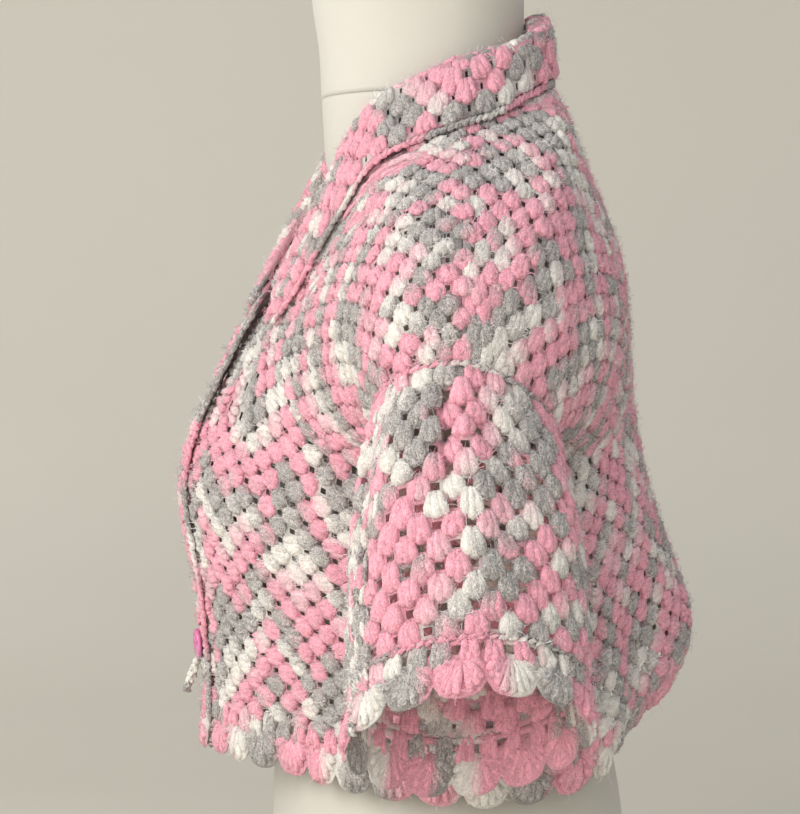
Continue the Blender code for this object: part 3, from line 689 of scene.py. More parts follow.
LUMP = 0.00042              # how uneven a treble's surface is
BALL, BALL_FACES = treble_ball()
BALL_ALONG = 0.5 * (BALL[:, 2] + 1.0)
BALL_WIDE = np.hypot(BALL[:, 0], BALL[:, 1])
BALL_TURN = np.arctan2(BALL[:, 1], BALL[:, 0])


def placed(name, mesh, mat):
    """Gives a mesh its material and puts it in the scene."""
    mesh.materials.append(mat)
    made = bpy.data.objects.new(name, mesh)
    bpy.context.scene.collection.objects.link(made)
    return made


def placed_smooth(name, bm, mat):
    """Puts a finished bmesh in the scene, shaded smooth."""
    mesh = bpy.data.meshes.new(name)
    bm.to_mesh(mesh)
    bm.free()
    mesh.shade_smooth()
    return placed(name, mesh, mat)


class Trebles:
    """Trebles gathered for one joined mesh."""

    def __init__(self):
        self.rows = []

    def add(self, start, end, normal, thin, thick, colour, colour_end=None, arch=0.0, flat=0.85):
        far = colour if colour_end is None else colour_end
        self.rows.append(np.concatenate(
            [start, end, normal, [thin, thick, arch, flat], colour, far]))

    def mesh(self, name, mat):
        rows = np.array(self.rows)
        start, end, normal = rows[:, 0:3], rows[:, 3:6], rows[:, 6:9]
        thin, thick, arch, flat = (rows[:, k, None] for k in (9, 10, 11, 12))
        near, far = rows[:, 13:17], rows[:, 17:21]
        line = end - start
        length = np.linalg.norm(line, axis=1, keepdims=True)
        line /= np.maximum(length, 1e-9)
        side = np.cross(normal, line)
        side /= np.maximum(np.linalg.norm(side, axis=1, keepdims=True), 1e-9)
        up = np.cross(line, side)
        along = BALL_ALONG[None, :]
        swell = along * along * (3.0 - 2.0 * along)
        radius = (thin + (thick - thin) * swell) * BALL_WIDE[None, :] ** 0.6
        turn = BALL_TURN[None, :]
        a = (radius * np.cos(turn))[..., None]
        b = (radius * flat * np.sin(turn) + arch * 4.0 * along * (1.0 - along))[..., None]
        centre = start[:, None, :] + (end - start)[:, None, :] * along[..., None]
        places = centre + a * side[:, None, :] + b * up[:, None, :]
        places += rng.normal(0.0, LUMP, places.shape) * np.minimum(BALL_WIDE * 2.0, 1.0)[None, :, None]
        colours = near[:, None, :] * (1.0 - along[..., None]) + far[:, None, :] * along[..., None]
        count = len(BALL)
        faces = []
        for k in range(len(rows)):
            base = k * count
            faces.extend([[base + i for i in face] for face in BALL_FACES])
        mesh = bpy.data.meshes.new(name)
        mesh.from_pydata(places.reshape(-1, 3).tolist(), [], faces)
        paint = mesh.color_attributes.new("yarn", "FLOAT_COLOR", "POINT")
        paint.data.foreach_set("color", colours.ravel())
        strand = mesh.attributes.new("strand", "FLOAT_VECTOR", "POINT")
        lift = rng.uniform(0.0, 9.0, (len(rows), 1))
        around = np.stack([radius * np.cos(turn), radius * np.sin(turn), along * length + lift], axis=2)
        strand.data.foreach_set("vector", around.ravel())
        mesh.shade_smooth()
        return placed(name, mesh, mat)


FUZZ_LENGTH = 0.0060
FUZZ_WIDTH = 0.00024
FUZZ_SHARE = 4.6            # loose fibres for each treble


def fuzz(name, heap, share, mat):
    """Loose fibres that stand off the trebles, each a bent ribbon of two faces."""
    rows = np.array(heap.rows)
    rows = rows[rng.randint(0, len(rows), int(len(rows) * share))]
    count = len(rows)
    along = rng.uniform(0.1, 0.95, (count, 1))
    place = rows[:, 0:3] * (1.0 - along) + rows[:, 3:6] * along
    normal = rows[:, 6:9]
    thick = rows[:, 9:10] + (rows[:, 10:11] - rows[:, 9:10]) * along
    lean = rng.normal(0.0, 1.0, (count, 3))
    lean -= normal * (lean * normal).sum(axis=1, keepdims=True)
    lean /= np.maximum(np.linalg.norm(lean, axis=1, keepdims=True), 1e-9)
    length = FUZZ_LENGTH * rng.uniform(0.5, 1.4, (count, 1))
    rise = rng.uniform(-0.3, 0.9, (count, 1))
    root = place + normal * thick * 0.55 + lean * thick * 0.5
    middle = root + length * (lean * 0.5 + normal * (0.25 + 0.3 * rise))
    bend = np.cross(normal, lean) * rng.uniform(-0.5, 0.5, (count, 1))
    tip = root + length * (lean * 0.8 + bend * 0.6 + normal * 0.45 * rise)
    width = np.cross(normal, lean) * FUZZ_WIDTH * 0.5
    width2 = width * 0.8 + normal * FUZZ_WIDTH * 0.2
    places = np.stack([root - width, root + width, middle - width2, middle + width2,
                       tip - width * 0.5, tip + width * 0.5], axis=1)
    faces = []
    for k in range(count):
        base = 6 * k
        faces.append((base, base + 1, base + 3, base + 2))
        faces.append((base + 2, base + 3, base + 5, base + 4))
    mesh = bpy.data.meshes.new(name)
    mesh.from_pydata(places.reshape(-1, 3).tolist(), [], faces)
    colours = rows[:, 13:17].copy()
    # painted highlight: the loose fibres are coloured up to 1.7 times lighter than their yarn, for the
    # light that the fuzz catches
    colours[:, :3] = np.minimum(colours[:, :3] * rng.uniform(0.95, 1.7, (count, 1)), 0.95)
    colours[:, 3] = 0.0
    paint = mesh.color_attributes.new("yarn", "FLOAT_COLOR", "POINT")
    paint.data.foreach_set("color", np.repeat(colours, 6, axis=0).ravel())
    return placed(name, mesh, mat)


def net(name, chart, s_lines, t_lines, gaps, colour_at, mat, edge=None):
    """Thin openwork cloth on a chart. gaps(i, j) says which cells stay open."""
    bm = bmesh.new()
    bmesh.ops.create_grid(bm, x_segments=len(s_lines) - 1, y_segments=len(t_lines) - 1, size=1.0)
    paint = bm.verts.layers.float_color.new("yarn")
    s_lines = np.asarray(s_lines, float)
    t_lines = np.asarray(t_lines, float)
    cells = []
    for face in bm.faces:
        centre = face.calc_center_median()
        i = int((centre.x + 1.0) * 0.5 * (len(s_lines) - 1))
        j = int((centre.y + 1.0) * 0.5 * (len(t_lines) - 1))
        if gaps(i, j):
            cells.append(face)
    for vert in bm.verts:
        i = int(round((vert.co.x + 1.0) * 0.5 * (len(s_lines) - 1)))
        j = int(round((vert.co.y + 1.0) * 0.5 * (len(t_lines) - 1)))
        s = s_lines[i]
        t = t_lines[j] if edge is None else edge(s, t_lines[j])
        place = chart.at(s, t)[0]
        vert.co = place
        vert[paint] = colour_at(s, t)
    bmesh.ops.delete(bm, geom=cells, context="FACES")
    if chart.closed:
        bmesh.ops.remove_doubles(bm, verts=bm.verts, dist=1e-5)
    middle = chart.at(0.41, 0.52)
    nearest = min(bm.faces, key=lambda f: (f.calc_center_median() - Vector(middle[0])).length)
    nearest.normal_update()
    if nearest.normal.dot(Vector(middle[1])) < 0.0:
        bmesh.ops.reverse_faces(bm, faces=bm.faces)
    made = placed_smooth(name, bm, mat)
    wall = made.modifiers.new("thickness", "SOLIDIFY")
    wall.thickness = NET_THICK
    wall.offset = 0.0
    return made


def lattice(chart, pitch, row):
    """Whole numbers of clusters along and of rows across a chart."""
    return max(round(chart.along / pitch), 2), max(round(chart.across / row), 2)


def cluster_panel(name, chart, pitch, row, gap, start_length, mat, over_seam=False,
                  strained=None, patches=(), flat=0.78):
    """A panel of treble clusters in brick order: its net and its trebles.

    Strained, with a depth in t and a first and last s, turns the clusters along the
    low edge into drawn-out strands. Patches are places where one colour pools.
    """
    clusters, rows = lattice(chart, pitch, row)
    pitch = chart.along / clusters
    row = chart.across / rows
    pool = Pool(start_length, rows)

    # painted shade: the cloth takes its yarn's colour darkened by the net's shade factor, for the shade
    # between the clusters
    def colour_at(s, t):
        return shaded(pool.at(t * rows, s * clusters), NET_PAINTED_SHADE)

    s_lines = []
    for k in range(clusters):
        s_lines += [(k - gap) / clusters, (k + gap) / clusters,
                    (k + 0.5 - gap) / clusters, (k + 0.5 + gap) / clusters]
    s_lines = sorted(set([0.0, 1.0] + [min(max(s, 0.0), 1.0) for s in s_lines]))
    t_lines = [min((r + q) / rows, 1.0) for r in range(rows) for q in (HOLE_LOW, HOLE_HIGH)]
    t_lines = sorted(set([0.0, 1.0] + t_lines))

    def gaps(i, j):
        s = 0.5 * (s_lines[i] + s_lines[i + 1]) * clusters
        t = 0.5 * (t_lines[j] + t_lines[j + 1]) * rows
        r = math.floor(t)
        if not HOLE_LOW < t - r < HOLE_HIGH or r < 1:
            return False
        off = (s - 0.5 * ((r - 1) % 2)) % 1.0
        return min(off, 1.0 - off) < 0.9 * gap

    cloth = net(name + "_cloth", chart, s_lines, t_lines, gaps, colour_at, mat)
    heap = Trebles()
    last = clusters + (0 if chart.closed else 1)
    for r in range(rows):
        shift = 0.5 * (r % 2)
        for k in range(last):
            s = (k + shift + rng.uniform(-0.05, 0.05)) / clusters
            goes_on = over_seam or chart.closed
            if s > 1.0 + 0.1 / clusters or (s > 1.0 - 0.2 / clusters and not goes_on):
                continue
            pull = 0.0
            if strained and strained[1] < s < strained[2]:
                share = (s - strained[1]) / (strained[2] - strained[1])
                pull = math.sin(math.pi * share) ** 0.6
            if pull and (r + 0.5) / rows < strained[0] * pull * rng.uniform(0.6, 1.1):
                for _ in range(PULLED_STRANDS):
                    across = (r + rng.uniform(0.0, 1.0)) / rows
                    middle = s + rng.uniform(-0.3, 0.3) / clusters
                    half = rng.uniform(0.5, 0.85) / clusters
                    ends, normals = chart.at([middle - half, middle + half],
                                             [across, across + rng.uniform(-0.35, 0.35) / rows])
                    colour = pool.at(r, k + shift + rng.uniform(-0.3, 0.3))
                    colour = shaded(colour, rng.uniform(0.9, 1.08))
                    heap.add(ends[0], ends[1], normals[0], 0.0013, 0.0019, colour, arch=0.0012)
                continue
            patch = pooled(patches, s, (r + 0.5) / rows)
            low = (r - CLUSTER_LOW + rng.uniform(-0.09, 0.09)) / rows
            high = min((r + CLUSTER_HIGH + rng.uniform(-0.12, 0.12)) / rows, 1.0 + 0.15 / rows)
            size = pitch * rng.uniform(0.9, 1.08)
            tilt = rng.uniform(-0.10, 0.10)
            puff = rng.uniform(-0.0004, 0.0009)
            for lobe in (-1, 0, 1):
                late = rng.uniform(0.05, 0.3)
                near = pool.at(r, k + shift + 0.1 * lobe - late) if patch is None else patch
                far = pool.at(r, k + shift + 0.1 * lobe + late) if patch is None else patch
                shade = rng.uniform(0.91, 1.05)
                ends, normals = chart.at(
                    [s + (lobe * LOBE_FOOT) / clusters, s + (lobe * LOBE_HEAD + tilt) / clusters],
                    [low, high - (abs(lobe) * 0.14 + rng.uniform(-0.08, 0.08)) / rows])
                lift = 0.0003 * (1 - abs(lobe)) + puff
                heap.add(ends[0] + normals[0] * lift * 0.3, ends[1] + normals[1] * lift, normals[1],
                         LOBE_THIN * size, LOBE_THICK * size,
                         shaded(near, shade), shaded(far, shade), arch=ARCH, flat=flat)
    return cloth, heap


def sew_on(cloth, other):
    """Joins a second net to a first along the edge that they share."""
    bm = bmesh.new()
    bm.from_mesh(cloth.data)
    bm.from_mesh(other.data)
    bmesh.ops.remove_doubles(bm, verts=bm.verts, dist=0.0002)
    bm.to_mesh(cloth.data)
    bm.free()
    bpy.data.objects.remove(other)


def ridge(heap, line, normals, pitch, radius, start_length, lean, long, grey_from=2.0):
    """A chain of slanting lumps along a line, as slip stitches or a rope edge make.

    Past the share grey_from of its length the chain is grey.
    """
    line = np.asarray(line, float)
    steps = np.linalg.norm(np.diff(line, axis=0), axis=1)
    lengths = np.concatenate([[0.0], np.cumsum(steps)])
    count = max(int(lengths[-1] / pitch), 2)

    def part_way(values, goal):
        return np.array([np.interp(goal, lengths, values[:, k]) for k in range(3)])

    for i in range(count):
        goal = (i + 0.5) * lengths[-1] / count
        place = part_way(line, goal)
        normal = part_way(normals, goal)
        forward = (part_way(line, min(goal + 0.002, lengths[-1]))
                   - part_way(line, max(goal - 0.002, 0.0)))
        forward /= np.linalg.norm(forward)
        side = np.cross(normal, forward)
        side /= np.linalg.norm(side)
        reach = 0.5 * long * pitch * forward + lean * radius * side
        colour = yarn_colour(start_length + i * 0.16) if i < grey_from * count else GREY_RUN
        colour = shaded(colour, rng.uniform(0.88, 1.05))
        heap.add(place - reach, place + reach, normal, 0.7 * radius, radius, colour, flat=1.0)


# ---- materials -----------------------------------------------------------------
def add(tree, kind, links=(), **settings):
    """Adds a node, sets its values and links its inputs."""
    node = tree.nodes.new(kind)
    for name, value in settings.items():
        if hasattr(node, name):
            setattr(node, name, value)
        else:
            node.inputs[name.replace("_", " ")].default_value = value
    for name, socket in links:
        tree.links.new(socket, node.inputs[name])
    return node


def two_tones(tree, noise, shader, low, high):
    """Base colour that runs between two tones, each with its place on the noise's scale."""
    tint = add(tree, "ShaderNodeValToRGB", [("Fac", noise.outputs["Fac"])])
    for element, (position, code) in zip(tint.color_ramp.elements, (low, high)):
        element.position = position
        element.color = linear(code)
    tree.links.new(tint.outputs["Color"], shader.inputs["Base Color"])


def brushed_acrylic_yarn():
    """Brushed acrylic yarn, space dyed: matte, hairy, with its plies showing.

    The noise is 1/720 m across a strand and 1/330 m along it, so its plies are
    about 1.4 mm wide, and 1/430 m for the curls, so they are about 2.3 mm. Real
    plies are finer; these are coarser so that they show at this distance.
    """
    mat = bpy.data.materials.new("brushed_acrylic_yarn")
    mat.use_nodes = True
    tree = mat.node_tree
    shader = tree.nodes["Principled BSDF"]
    shader.inputs["Roughness"].default_value = 0.92
    shader.inputs["IOR"].default_value = 1.45
    shader.inputs["Sheen Weight"].default_value = 0.35
    shader.inputs["Sheen Roughness"].default_value = 0.6
    paint = add(tree, "ShaderNodeAttribute", attribute_name="yarn")
    strand = add(tree, "ShaderNodeAttribute", attribute_name="strand")
    place = add(tree, "ShaderNodeTexCoord")
    plies = add(tree, "ShaderNodeMapping", [("Vector", strand.outputs["Vector"])])
    plies.inputs["Scale"].default_value = (720.0, 720.0, 330.0)
    ply = add(tree, "ShaderNodeTexNoise", [("Vector", plies.outputs["Vector"])],
              Scale=1.0, Detail=1.0, Roughness=0.5, Distortion=2.0)
    fibre = add(tree, "ShaderNodeTexNoise", [("Vector", place.outputs["Object"])],
                Scale=430.0, Detail=1.5, Roughness=0.5, Distortion=3.4)
    both = add(tree, "ShaderNodeMix", [("A", ply.outputs["Fac"]), ("B", fibre.outputs["Fac"])],
               Factor=0.55)
    level = add(tree, "ShaderNodeMapRange", [("Value", both.outputs["Result"])])
    level.inputs["From Min"].default_value = 0.40
    level.inputs["From Max"].default_value = 0.60
    level.inputs["To Min"].default_value = -0.60
    level.inputs["To Max"].default_value = 0.78
    heather = add(tree, "ShaderNodeMath", [(0, level.outputs["Result"]), (1, paint.outputs["Alpha"])],
                  operation="MULTIPLY")
    factor = add(tree, "ShaderNodeMath", [(0, heather.outputs["Value"])], operation="ADD")
    factor.inputs[1].default_value = 1.0
    tone = add(tree, "ShaderNodeVectorMath", [(0, paint.outputs["Color"]), (1, factor.outputs["Value"])],
               operation="MULTIPLY")
    tree.links.new(tone.outputs["Vector"], shader.inputs["Base Color"])
    bump = add(tree, "ShaderNodeBump", [("Height", both.outputs["Result"])])
    bump.inputs["Strength"].default_value = 1.0
    bump.inputs["Distance"].default_value = 0.0018
    tree.links.new(bump.outputs["Normal"], shader.inputs["Normal"])
    return mat


def cotton_jersey():
    """Cotton jersey over the form: smooth and matte, its grain 0.9 mm wide and 1.8 mm high."""
    mat = bpy.data.materials.new("cotton_jersey")
    mat.use_nodes = True
    tree = mat.node_tree
    shader = tree.nodes["Principled BSDF"]
    shader.inputs["Roughness"].default_value = 0.85
    shader.inputs["Sheen Weight"].default_value = 0.25
    place = add(tree, "ShaderNodeTexCoord")
    stretch = add(tree, "ShaderNodeMapping", [("Vector", place.outputs["Object"])])
    stretch.inputs["Scale"].default_value = (1.0, 1.0, 0.5)
    grain = add(tree, "ShaderNodeTexNoise", [("Vector", stretch.outputs["Vector"])],
                Scale=1100.0, Detail=2.0)
    cloud = add(tree, "ShaderNodeTexNoise", [("Vector", place.outputs["Object"])],
                Scale=9.0, Detail=3.0)
    two_tones(tree, cloud, shader, (0.3, "#C3BFB2"), (0.7, "#CBC7BD"))
    bump = add(tree, "ShaderNodeBump", [("Height", grain.outputs["Fac"])])
    bump.inputs["Strength"].default_value = 0.25
    bump.inputs["Distance"].default_value = 0.0003
    tree.links.new(bump.outputs["Normal"], shader.inputs["Normal"])
    return mat


def pearly_resin():
    """Cast polyester button: glossy pink with faint swirls about 8 mm wide."""
    mat = bpy.data.materials.new("pearly_resin")
    mat.use_nodes = True
    tree = mat.node_tree
    shader = tree.nodes["Principled BSDF"]
    shader.inputs["Roughness"].default_value = 0.16
    shader.inputs["IOR"].default_value = 1.55
    shader.inputs["Coat Weight"].default_value = 0.6
    shader.inputs["Coat Roughness"].default_value = 0.08
    place = add(tree, "ShaderNodeTexCoord")
    swirl = add(tree, "ShaderNodeTexNoise", [("Vector", place.outputs["Object"])],
                Scale=130.0, Detail=3.0, Distortion=1.5)
    two_tones(tree, swirl, shader, (0.35, "#C24F8E"), (0.65, "#E58FBC"))
    return mat


def backdrop_paper():
    """Matte paper backdrop, warm pale grey, with a very faint mottle.

    Its back is clear, by the Backfacing output, because the wall would otherwise
    fill the picture from behind. So what it shows depends on the camera's side.
    """
    mat = bpy.data.materials.new("backdrop_paper")
    mat.use_nodes = True
    tree = mat.node_tree
    shader = tree.nodes["Principled BSDF"]
    shader.inputs["Roughness"].default_value = 1.0
    shader.inputs["Specular IOR Level"].default_value = 0.1
    place = add(tree, "ShaderNodeTexCoord")
    cloud = add(tree, "ShaderNodeTexNoise", [("Vector", place.outputs["Object"])],
                Scale=3.0, Detail=2.0)
    two_tones(tree, cloud, shader, (0.0, "#DAD5C8"), (1.0, "#DED9CD"))
    side = add(tree, "ShaderNodeNewGeometry")
    clear = add(tree, "ShaderNodeBsdfTransparent")
    mix = add(tree, "ShaderNodeMixShader", [("Fac", side.outputs["Backfacing"])])
    tree.links.new(shader.outputs["BSDF"], mix.inputs[1])
    tree.links.new(clear.outputs["BSDF"], mix.inputs[2])
    tree.links.new(mix.outputs["Shader"], tree.nodes["Material Output"].inputs["Surface"])
    return mat


YARN = brushed_acrylic_yarn()
JERSEY = cotton_jersey()
RESIN = pearly_resin()
PAPER = backdrop_paper()


def dress(piece, slot_name, *nodes):
    """Ties a piece to the row's one body and hides the solids it replaces. slot_name is not used."""
    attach(piece, "root")
    if nodes:
        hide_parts(*nodes)


# ---- charts of the panels --------------------------------------------------------
CHART_ROWS = 72
CHART_COLUMNS = 40


def even_levels(place_at, low, high, share):
    """Levels at even distances along one edge of a panel."""
    levels = spread(low, high, 120)
    line = np.array([lapped(*place_at(level, share)) for level in levels])
    lengths = np.concatenate([[0.0], np.cumsum(np.linalg.norm(np.diff(line, axis=0), axis=1))])
    return np.interp(np.linspace(0.0, lengths[-1], CHART_ROWS), lengths, levels)


def panel_chart(place_at, low, high, flip):
    """Chart of a body panel: s up the body, t from the middle edge to the side.

    The rows are even along both edges, so they slant where one edge is longer.
    """
    inner = even_levels(place_at, low, high, 0.0)
    outer = even_levels(place_at, low, high, 1.0)
    rows = []
    for k in range(CHART_ROWS):
        line = []
        for share in spread(0.0, 1.0, 64):
            turn = smooth(share)
            line.append(lapped(*place_at(inner[k] * (1.0 - turn) + outer[k] * turn, share)))
        rows.append(even_line(line, CHART_COLUMNS))
    return Chart(even_rows(rows, CHART_ROWS), flip, sink=0.5 * WALL)


def left_place(level, share):
    start = neck_around(level)
    return start + (1.0 - start) * share, level


def right_place(level, share):
    place, level = left_place(level, share)
    return 4.0 - place, level


def back_place(level, share):
    place = 2.0 - share * 0.9998
    top = back_top(place)
    lifted = EDGING_TOP + (level - EDGING_TOP) * (top - EDGING_TOP) / (1.0 - EDGING_TOP)
    blend = smooth((level - 0.7) / 0.3)
    return place, level + (lifted - level) * blend


LOW = EDGING_TOP + 0.002
HIGH = 0.9994
left_chart = panel_chart(left_place, LOW, HIGH, -1.0)
right_chart = panel_chart(right_place, LOW, HIGH, 1.0)
back_left_chart = panel_chart(back_place, LOW, HIGH, 1.0)
back_right_chart = back_left_chart.mirrored()

SLEEVE_TURNS = 193
sleeve_rows = []
for around in spread(0.0, 4.0, SLEEVE_TURNS):
    tube_line = [sleeve(around, along) for along in spread(0.004, 0.999, CHART_COLUMNS)]
    sleeve_rows.append(even_line(tube_line, CHART_COLUMNS))
sleeve_left_chart = Chart(even_rows(sleeve_rows, SLEEVE_TURNS), -1.0, closed=True, sink=0.5 * WALL)
CREASES = (                 # place around, half width, depth, from and to along the sleeve
    (0.472, 0.010, -0.0080, 0.0, 0.62),
    (0.500, 0.016, 0.0032, 0.0, 0.60),
    (0.560, 0.030, -0.0020, 0.10, 0.90),
    (0.330, 0.012, -0.0030, 0.15, 0.98),
    (0.302, 0.014, 0.0030, 0.10, 1.00),
)
s_grid = np.linspace(0.0, 1.0, SLEEVE_TURNS)[:, None]
t_grid = np.linspace(0.0, 1.0, CHART_COLUMNS)[None, :]
for around, half, depth, low, high in CREASES:
    across = np.exp(-((s_grid - around) / half) ** 2)
    ends = (np.clip((t_grid - low) / 0.12, 0.0, 1.0)
            * np.clip((high - t_grid) / (0.5 * (high - low)), 0.0, 1.0))
    sleeve_left_chart.points += (depth * across * ends)[..., None] * sleeve_left_chart.normals
sleeve_right_chart = sleeve_left_chart.mirrored()

EDGING_COLUMNS = 12
CUFF_TURNS = 97
cuff_rows = []
for around in spread(0.0, 4.0, CUFF_TURNS):
    levels = spread(1.001, 1.001 + CUFF_LENGTH, EDGING_COLUMNS)
    cuff_rows.append([sleeve(around, along) for along in levels])
cuff_left_chart = Chart(even_rows(cuff_rows, CUFF_TURNS), -1.0, closed=True, sink=0.5 * WALL)
cuff_right_chart = cuff_left_chart.mirrored()

HEM_TURNS = 241
hem_rows = []
for around in spread(-LAP_TURN, 4.0 + LAP_TURN, HEM_TURNS):
    levels = spread(EDGING_TOP - 0.002, 0.0, EDGING_COLUMNS)
    hem_rows.append([lapped(around, level) for level in levels])
hem_chart = Chart(even_rows(hem_rows, HEM_TURNS), -1.0, sink=0.5 * WALL)


def collar_side(side):
    """Rows of the collar's chart on one side, lapel to back centre."""
    return [rounded(collar_section(station, side), CHART_COLUMNS)
            for station in spread(0.0, 1.0, CHART_COLUMNS)]


COLLAR_ROWS = 110
collar_rows = collar_side(-1) + collar_side(1)[::-1][1:]
collar_rows = [even_line(row, CHART_COLUMNS) for row in collar_rows]
collar_chart = Chart(even_rows(collar_rows, COLLAR_ROWS), 1.0)

# ---- body panels and sleeves -----------------------------------------------------
NECK_STRAIN = (0.44, 0.53, 0.97)    # drawn out by the collar: depth in t, first and last s
SLEEVE_POOLS = (            # where one colour pools: colour, heather, middle and half size in s, t
    (GREY_YARN, 0.85, (0.452, 0.16), (0.020, 0.22)),
    (PINK, 0.4, (0.515, 0.18), (0.032, 0.20)),
    (GREY_YARN, 0.85, (0.640, 0.28), (0.030, 0.28)),
    (CREAM_YARN, 0.25, (0.485, 0.52), (0.040, 0.10)),
    (GREY_YARN, 0.85, (0.520, 0.77), (0.045, 0.08)),
    (PINK, 0.4, (0.370, 0.82), (0.050, 0.18)),
    (PINK, 0.4, (0.610, 0.66), (0.030, 0.10)),
)
COLLAR_POOLS = (
    (GREY_YARN, 0.85, (0.615, 0.60), (0.020, 0.40)),
    (PINK, 0.4, (0.680, 0.60), (0.040, 0.34)),
    (GREY_YARN, 0.85, (0.750, 0.80), (0.020, 0.30)),
    (PINK, 0.4, (0.830, 0.80), (0.050, 0.40)),
)


def body_panel(name, chart, start_length, **more):
    """A cluster panel in the body's own stitch sizes."""
    return cluster_panel(name, chart, BODY_PITCH, BODY_ROW, BODY_GAP, start_length, YARN,
                         flat=BODY_FLAT, **more)


def sleeve_panel(name, chart, start_length):
    """A cluster panel in the sleeves' stitch sizes, with their pools."""
    return cluster_panel(name, chart, PITCH, ROW, SLEEVE_GAP, start_length, YARN,
                         patches=SLEEVE_POOLS)


front_left_cloth, front_left_heap = body_panel(
    "front_left", left_chart, 0.4, over_seam=True, strained=NECK_STRAIN)
front_right_cloth, front_right_heap = body_panel(
    "front_right", right_chart, 2.1, over_seam=True, strained=NECK_STRAIN)
back_cloth, back_heap = body_panel("back", back_left_chart, 3.3)
other_half, other_heap = body_panel("back_right", back_right_chart, 1.2)
sew_on(back_cloth, other_half)
back_heap.rows += other_heap.rows
sleeve_left_cloth, sleeve_left_heap = sleeve_panel("sleeve_left", sleeve_left_chart, 1.6)
sleeve_right_cloth, sleeve_right_heap = sleeve_panel("sleeve_right", sleeve_right_chart, 4.6)
collar_cloth, collar_heap = cluster_panel(
    "collar", collar_chart, COLLAR_PITCH, COLLAR_ROW, COLLAR_GAP, 2.9, YARN, patches=COLLAR_POOLS)

# ---- hem edging and cuffs ----------------------------------------------------------
BAND = 0.36          # share of the edging that is the band of clusters over the shells
FAN = 9              # trebles in a shell


def shell_line(t):
    """Height of a scallop's round edge, 0 in the notch and 1 in the middle."""
    return math.sqrt(max(1.0 - (2.0 * (t % 1.0) - 1.0) ** 2, 0.0))


def shell_edging(name, chart, start_length, mat):
    """A row of treble clusters, two to a shell, and a row of nine-treble shells."""
    shells = round(chart.along / SHELL_WIDTH)
    notch = SHELL_NOTCH / chart.across
    drift = np.cumsum(rng.uniform(0.5, 1.9, shells + 2))

    def edge(s, t):
        return t * (1.0 - notch * (1.0 - shell_line(s * shells)))

    def shell_colour(k):
        return yarn_colour(start_length + np.interp(k, np.arange(shells + 2) - 0.5, drift))

    # painted shade: the cloth under the shells is coloured 0.9 of its yarn, for the shade between them
    def colour_at(s, t):
        return shaded(shell_colour(s * shells - 0.5), 0.9)

    s_lines = spread(0.0, 1.0, shells * 8 + 1)
    t_lines = [0.0, 0.12, 0.28, 0.4, 0.6, 0.8, 0.93, 1.0]

    def gaps(i, j):
        return j == 1 and i % 4 in (3, 0)

    cloth = net(name + "_cloth", chart, s_lines, t_lines, gaps, colour_at, mat, edge)
    heap = Trebles()
    for k in range(2 * shells):
        middle = (k + 0.5 + rng.uniform(-0.12, 0.12)) / (2 * shells)
        tilt = rng.uniform(-0.10, 0.10)
        for lobe in (-1, 0, 1):
            colour = shaded(shell_colour(0.5 * k - 0.9 + 0.12 * lobe), rng.uniform(0.91, 1.05))
            ends, normals = chart.at(
                [middle + 0.07 * lobe / shells, middle + (0.13 * lobe + tilt) / shells],
                [-0.06 + rng.uniform(-0.03, 0.03), BAND + 0.09 + rng.uniform(-0.05, 0.05)])
            lift = normals[1] * rng.uniform(-0.0002, 0.0008)
            heap.add(ends[0], ends[1] + lift, normals[0], 0.0020, 0.0030, colour, arch=0.0007)
    for k in range(shells):
        centre = (k + 0.5) / shells
        shift = rng.uniform(-0.08, 0.08)
        reach = rng.uniform(0.96, 1.03)
        for f in range(FAN):
            turn = math.radians(-82.0 + 164.0 * f / (FAN - 1) + rng.uniform(-6.0, 6.0))
            root_s = centre + (0.10 * math.sin(turn) + shift) / shells
            tip_s = centre + 0.51 * math.sin(turn) / shells
            depth = edge(min(max(tip_s, k / shells), (k + 1) / shells), 1.0)
            tip_t = BAND + 0.04 + (depth - BAND) * (0.26 + 0.70 * math.cos(turn)) * reach
            ends, normals = chart.at([root_s, tip_s], [BAND - 0.02, min(tip_t, 0.975)])
            near = shell_colour(k + 0.5 * (f / (FAN - 1) - 0.5))
            far = shell_colour(k + 0.9 * (f / (FAN - 1) - 0.5))
            shade = rng.uniform(0.91, 1.04)
            lift = normals[1] * rng.uniform(-0.0006, 0.0014)
            heap.add(ends[0], ends[1] + lift, normals[1], 0.0018, 0.0031,
                     shaded(near, shade), shaded(far, shade), arch=0.0009)
    return cloth, heap


hem_cloth, hem_heap = shell_edging("hem_edging", hem_chart, 1.3, YARN)
cuff_left_cloth, cuff_left_heap = shell_edging("cuff_left", cuff_left_chart, 5.1, YARN)
cuff_right_cloth, cuff_right_heap = shell_edging("cuff_right", cuff_right_chart, 2.4, YARN)

# ---- seams and rope edges -----------------------------------------------------------
def chart_line(chart, t, lift, low=0.0, high=1.0, count=160):
    """A line along a chart's rows, lifted off it, and the normals there."""
    places, normals = chart.at(np.linspace(low, high, count), np.full(count, t))
    return places + normals * lift, normals


for heap, chart in ((sleeve_left_heap, sleeve_left_chart), (sleeve_right_heap, sleeve_right_chart)):
    line, normals = chart_line(chart, 0.0, 0.0018)
    ridge(heap, line, normals, 0.0052, 0.0017, 4.0, lean=0.7, long=1.1)
for heap, chart in ((cuff_left_heap, cuff_left_chart), (cuff_right_heap, cuff_right_chart)):
    line, normals = chart_line(chart, 0.02, 0.0018)
    ridge(heap, line, normals, 0.0052, 0.0016, 2.6, lean=0.7, long=1.1)

FOLD_PATH = ((0.0, 0.372), (0.3, 0.346), (0.6, 0.306), (0.9, 0.302), (1.2, 0.302))  # t, s


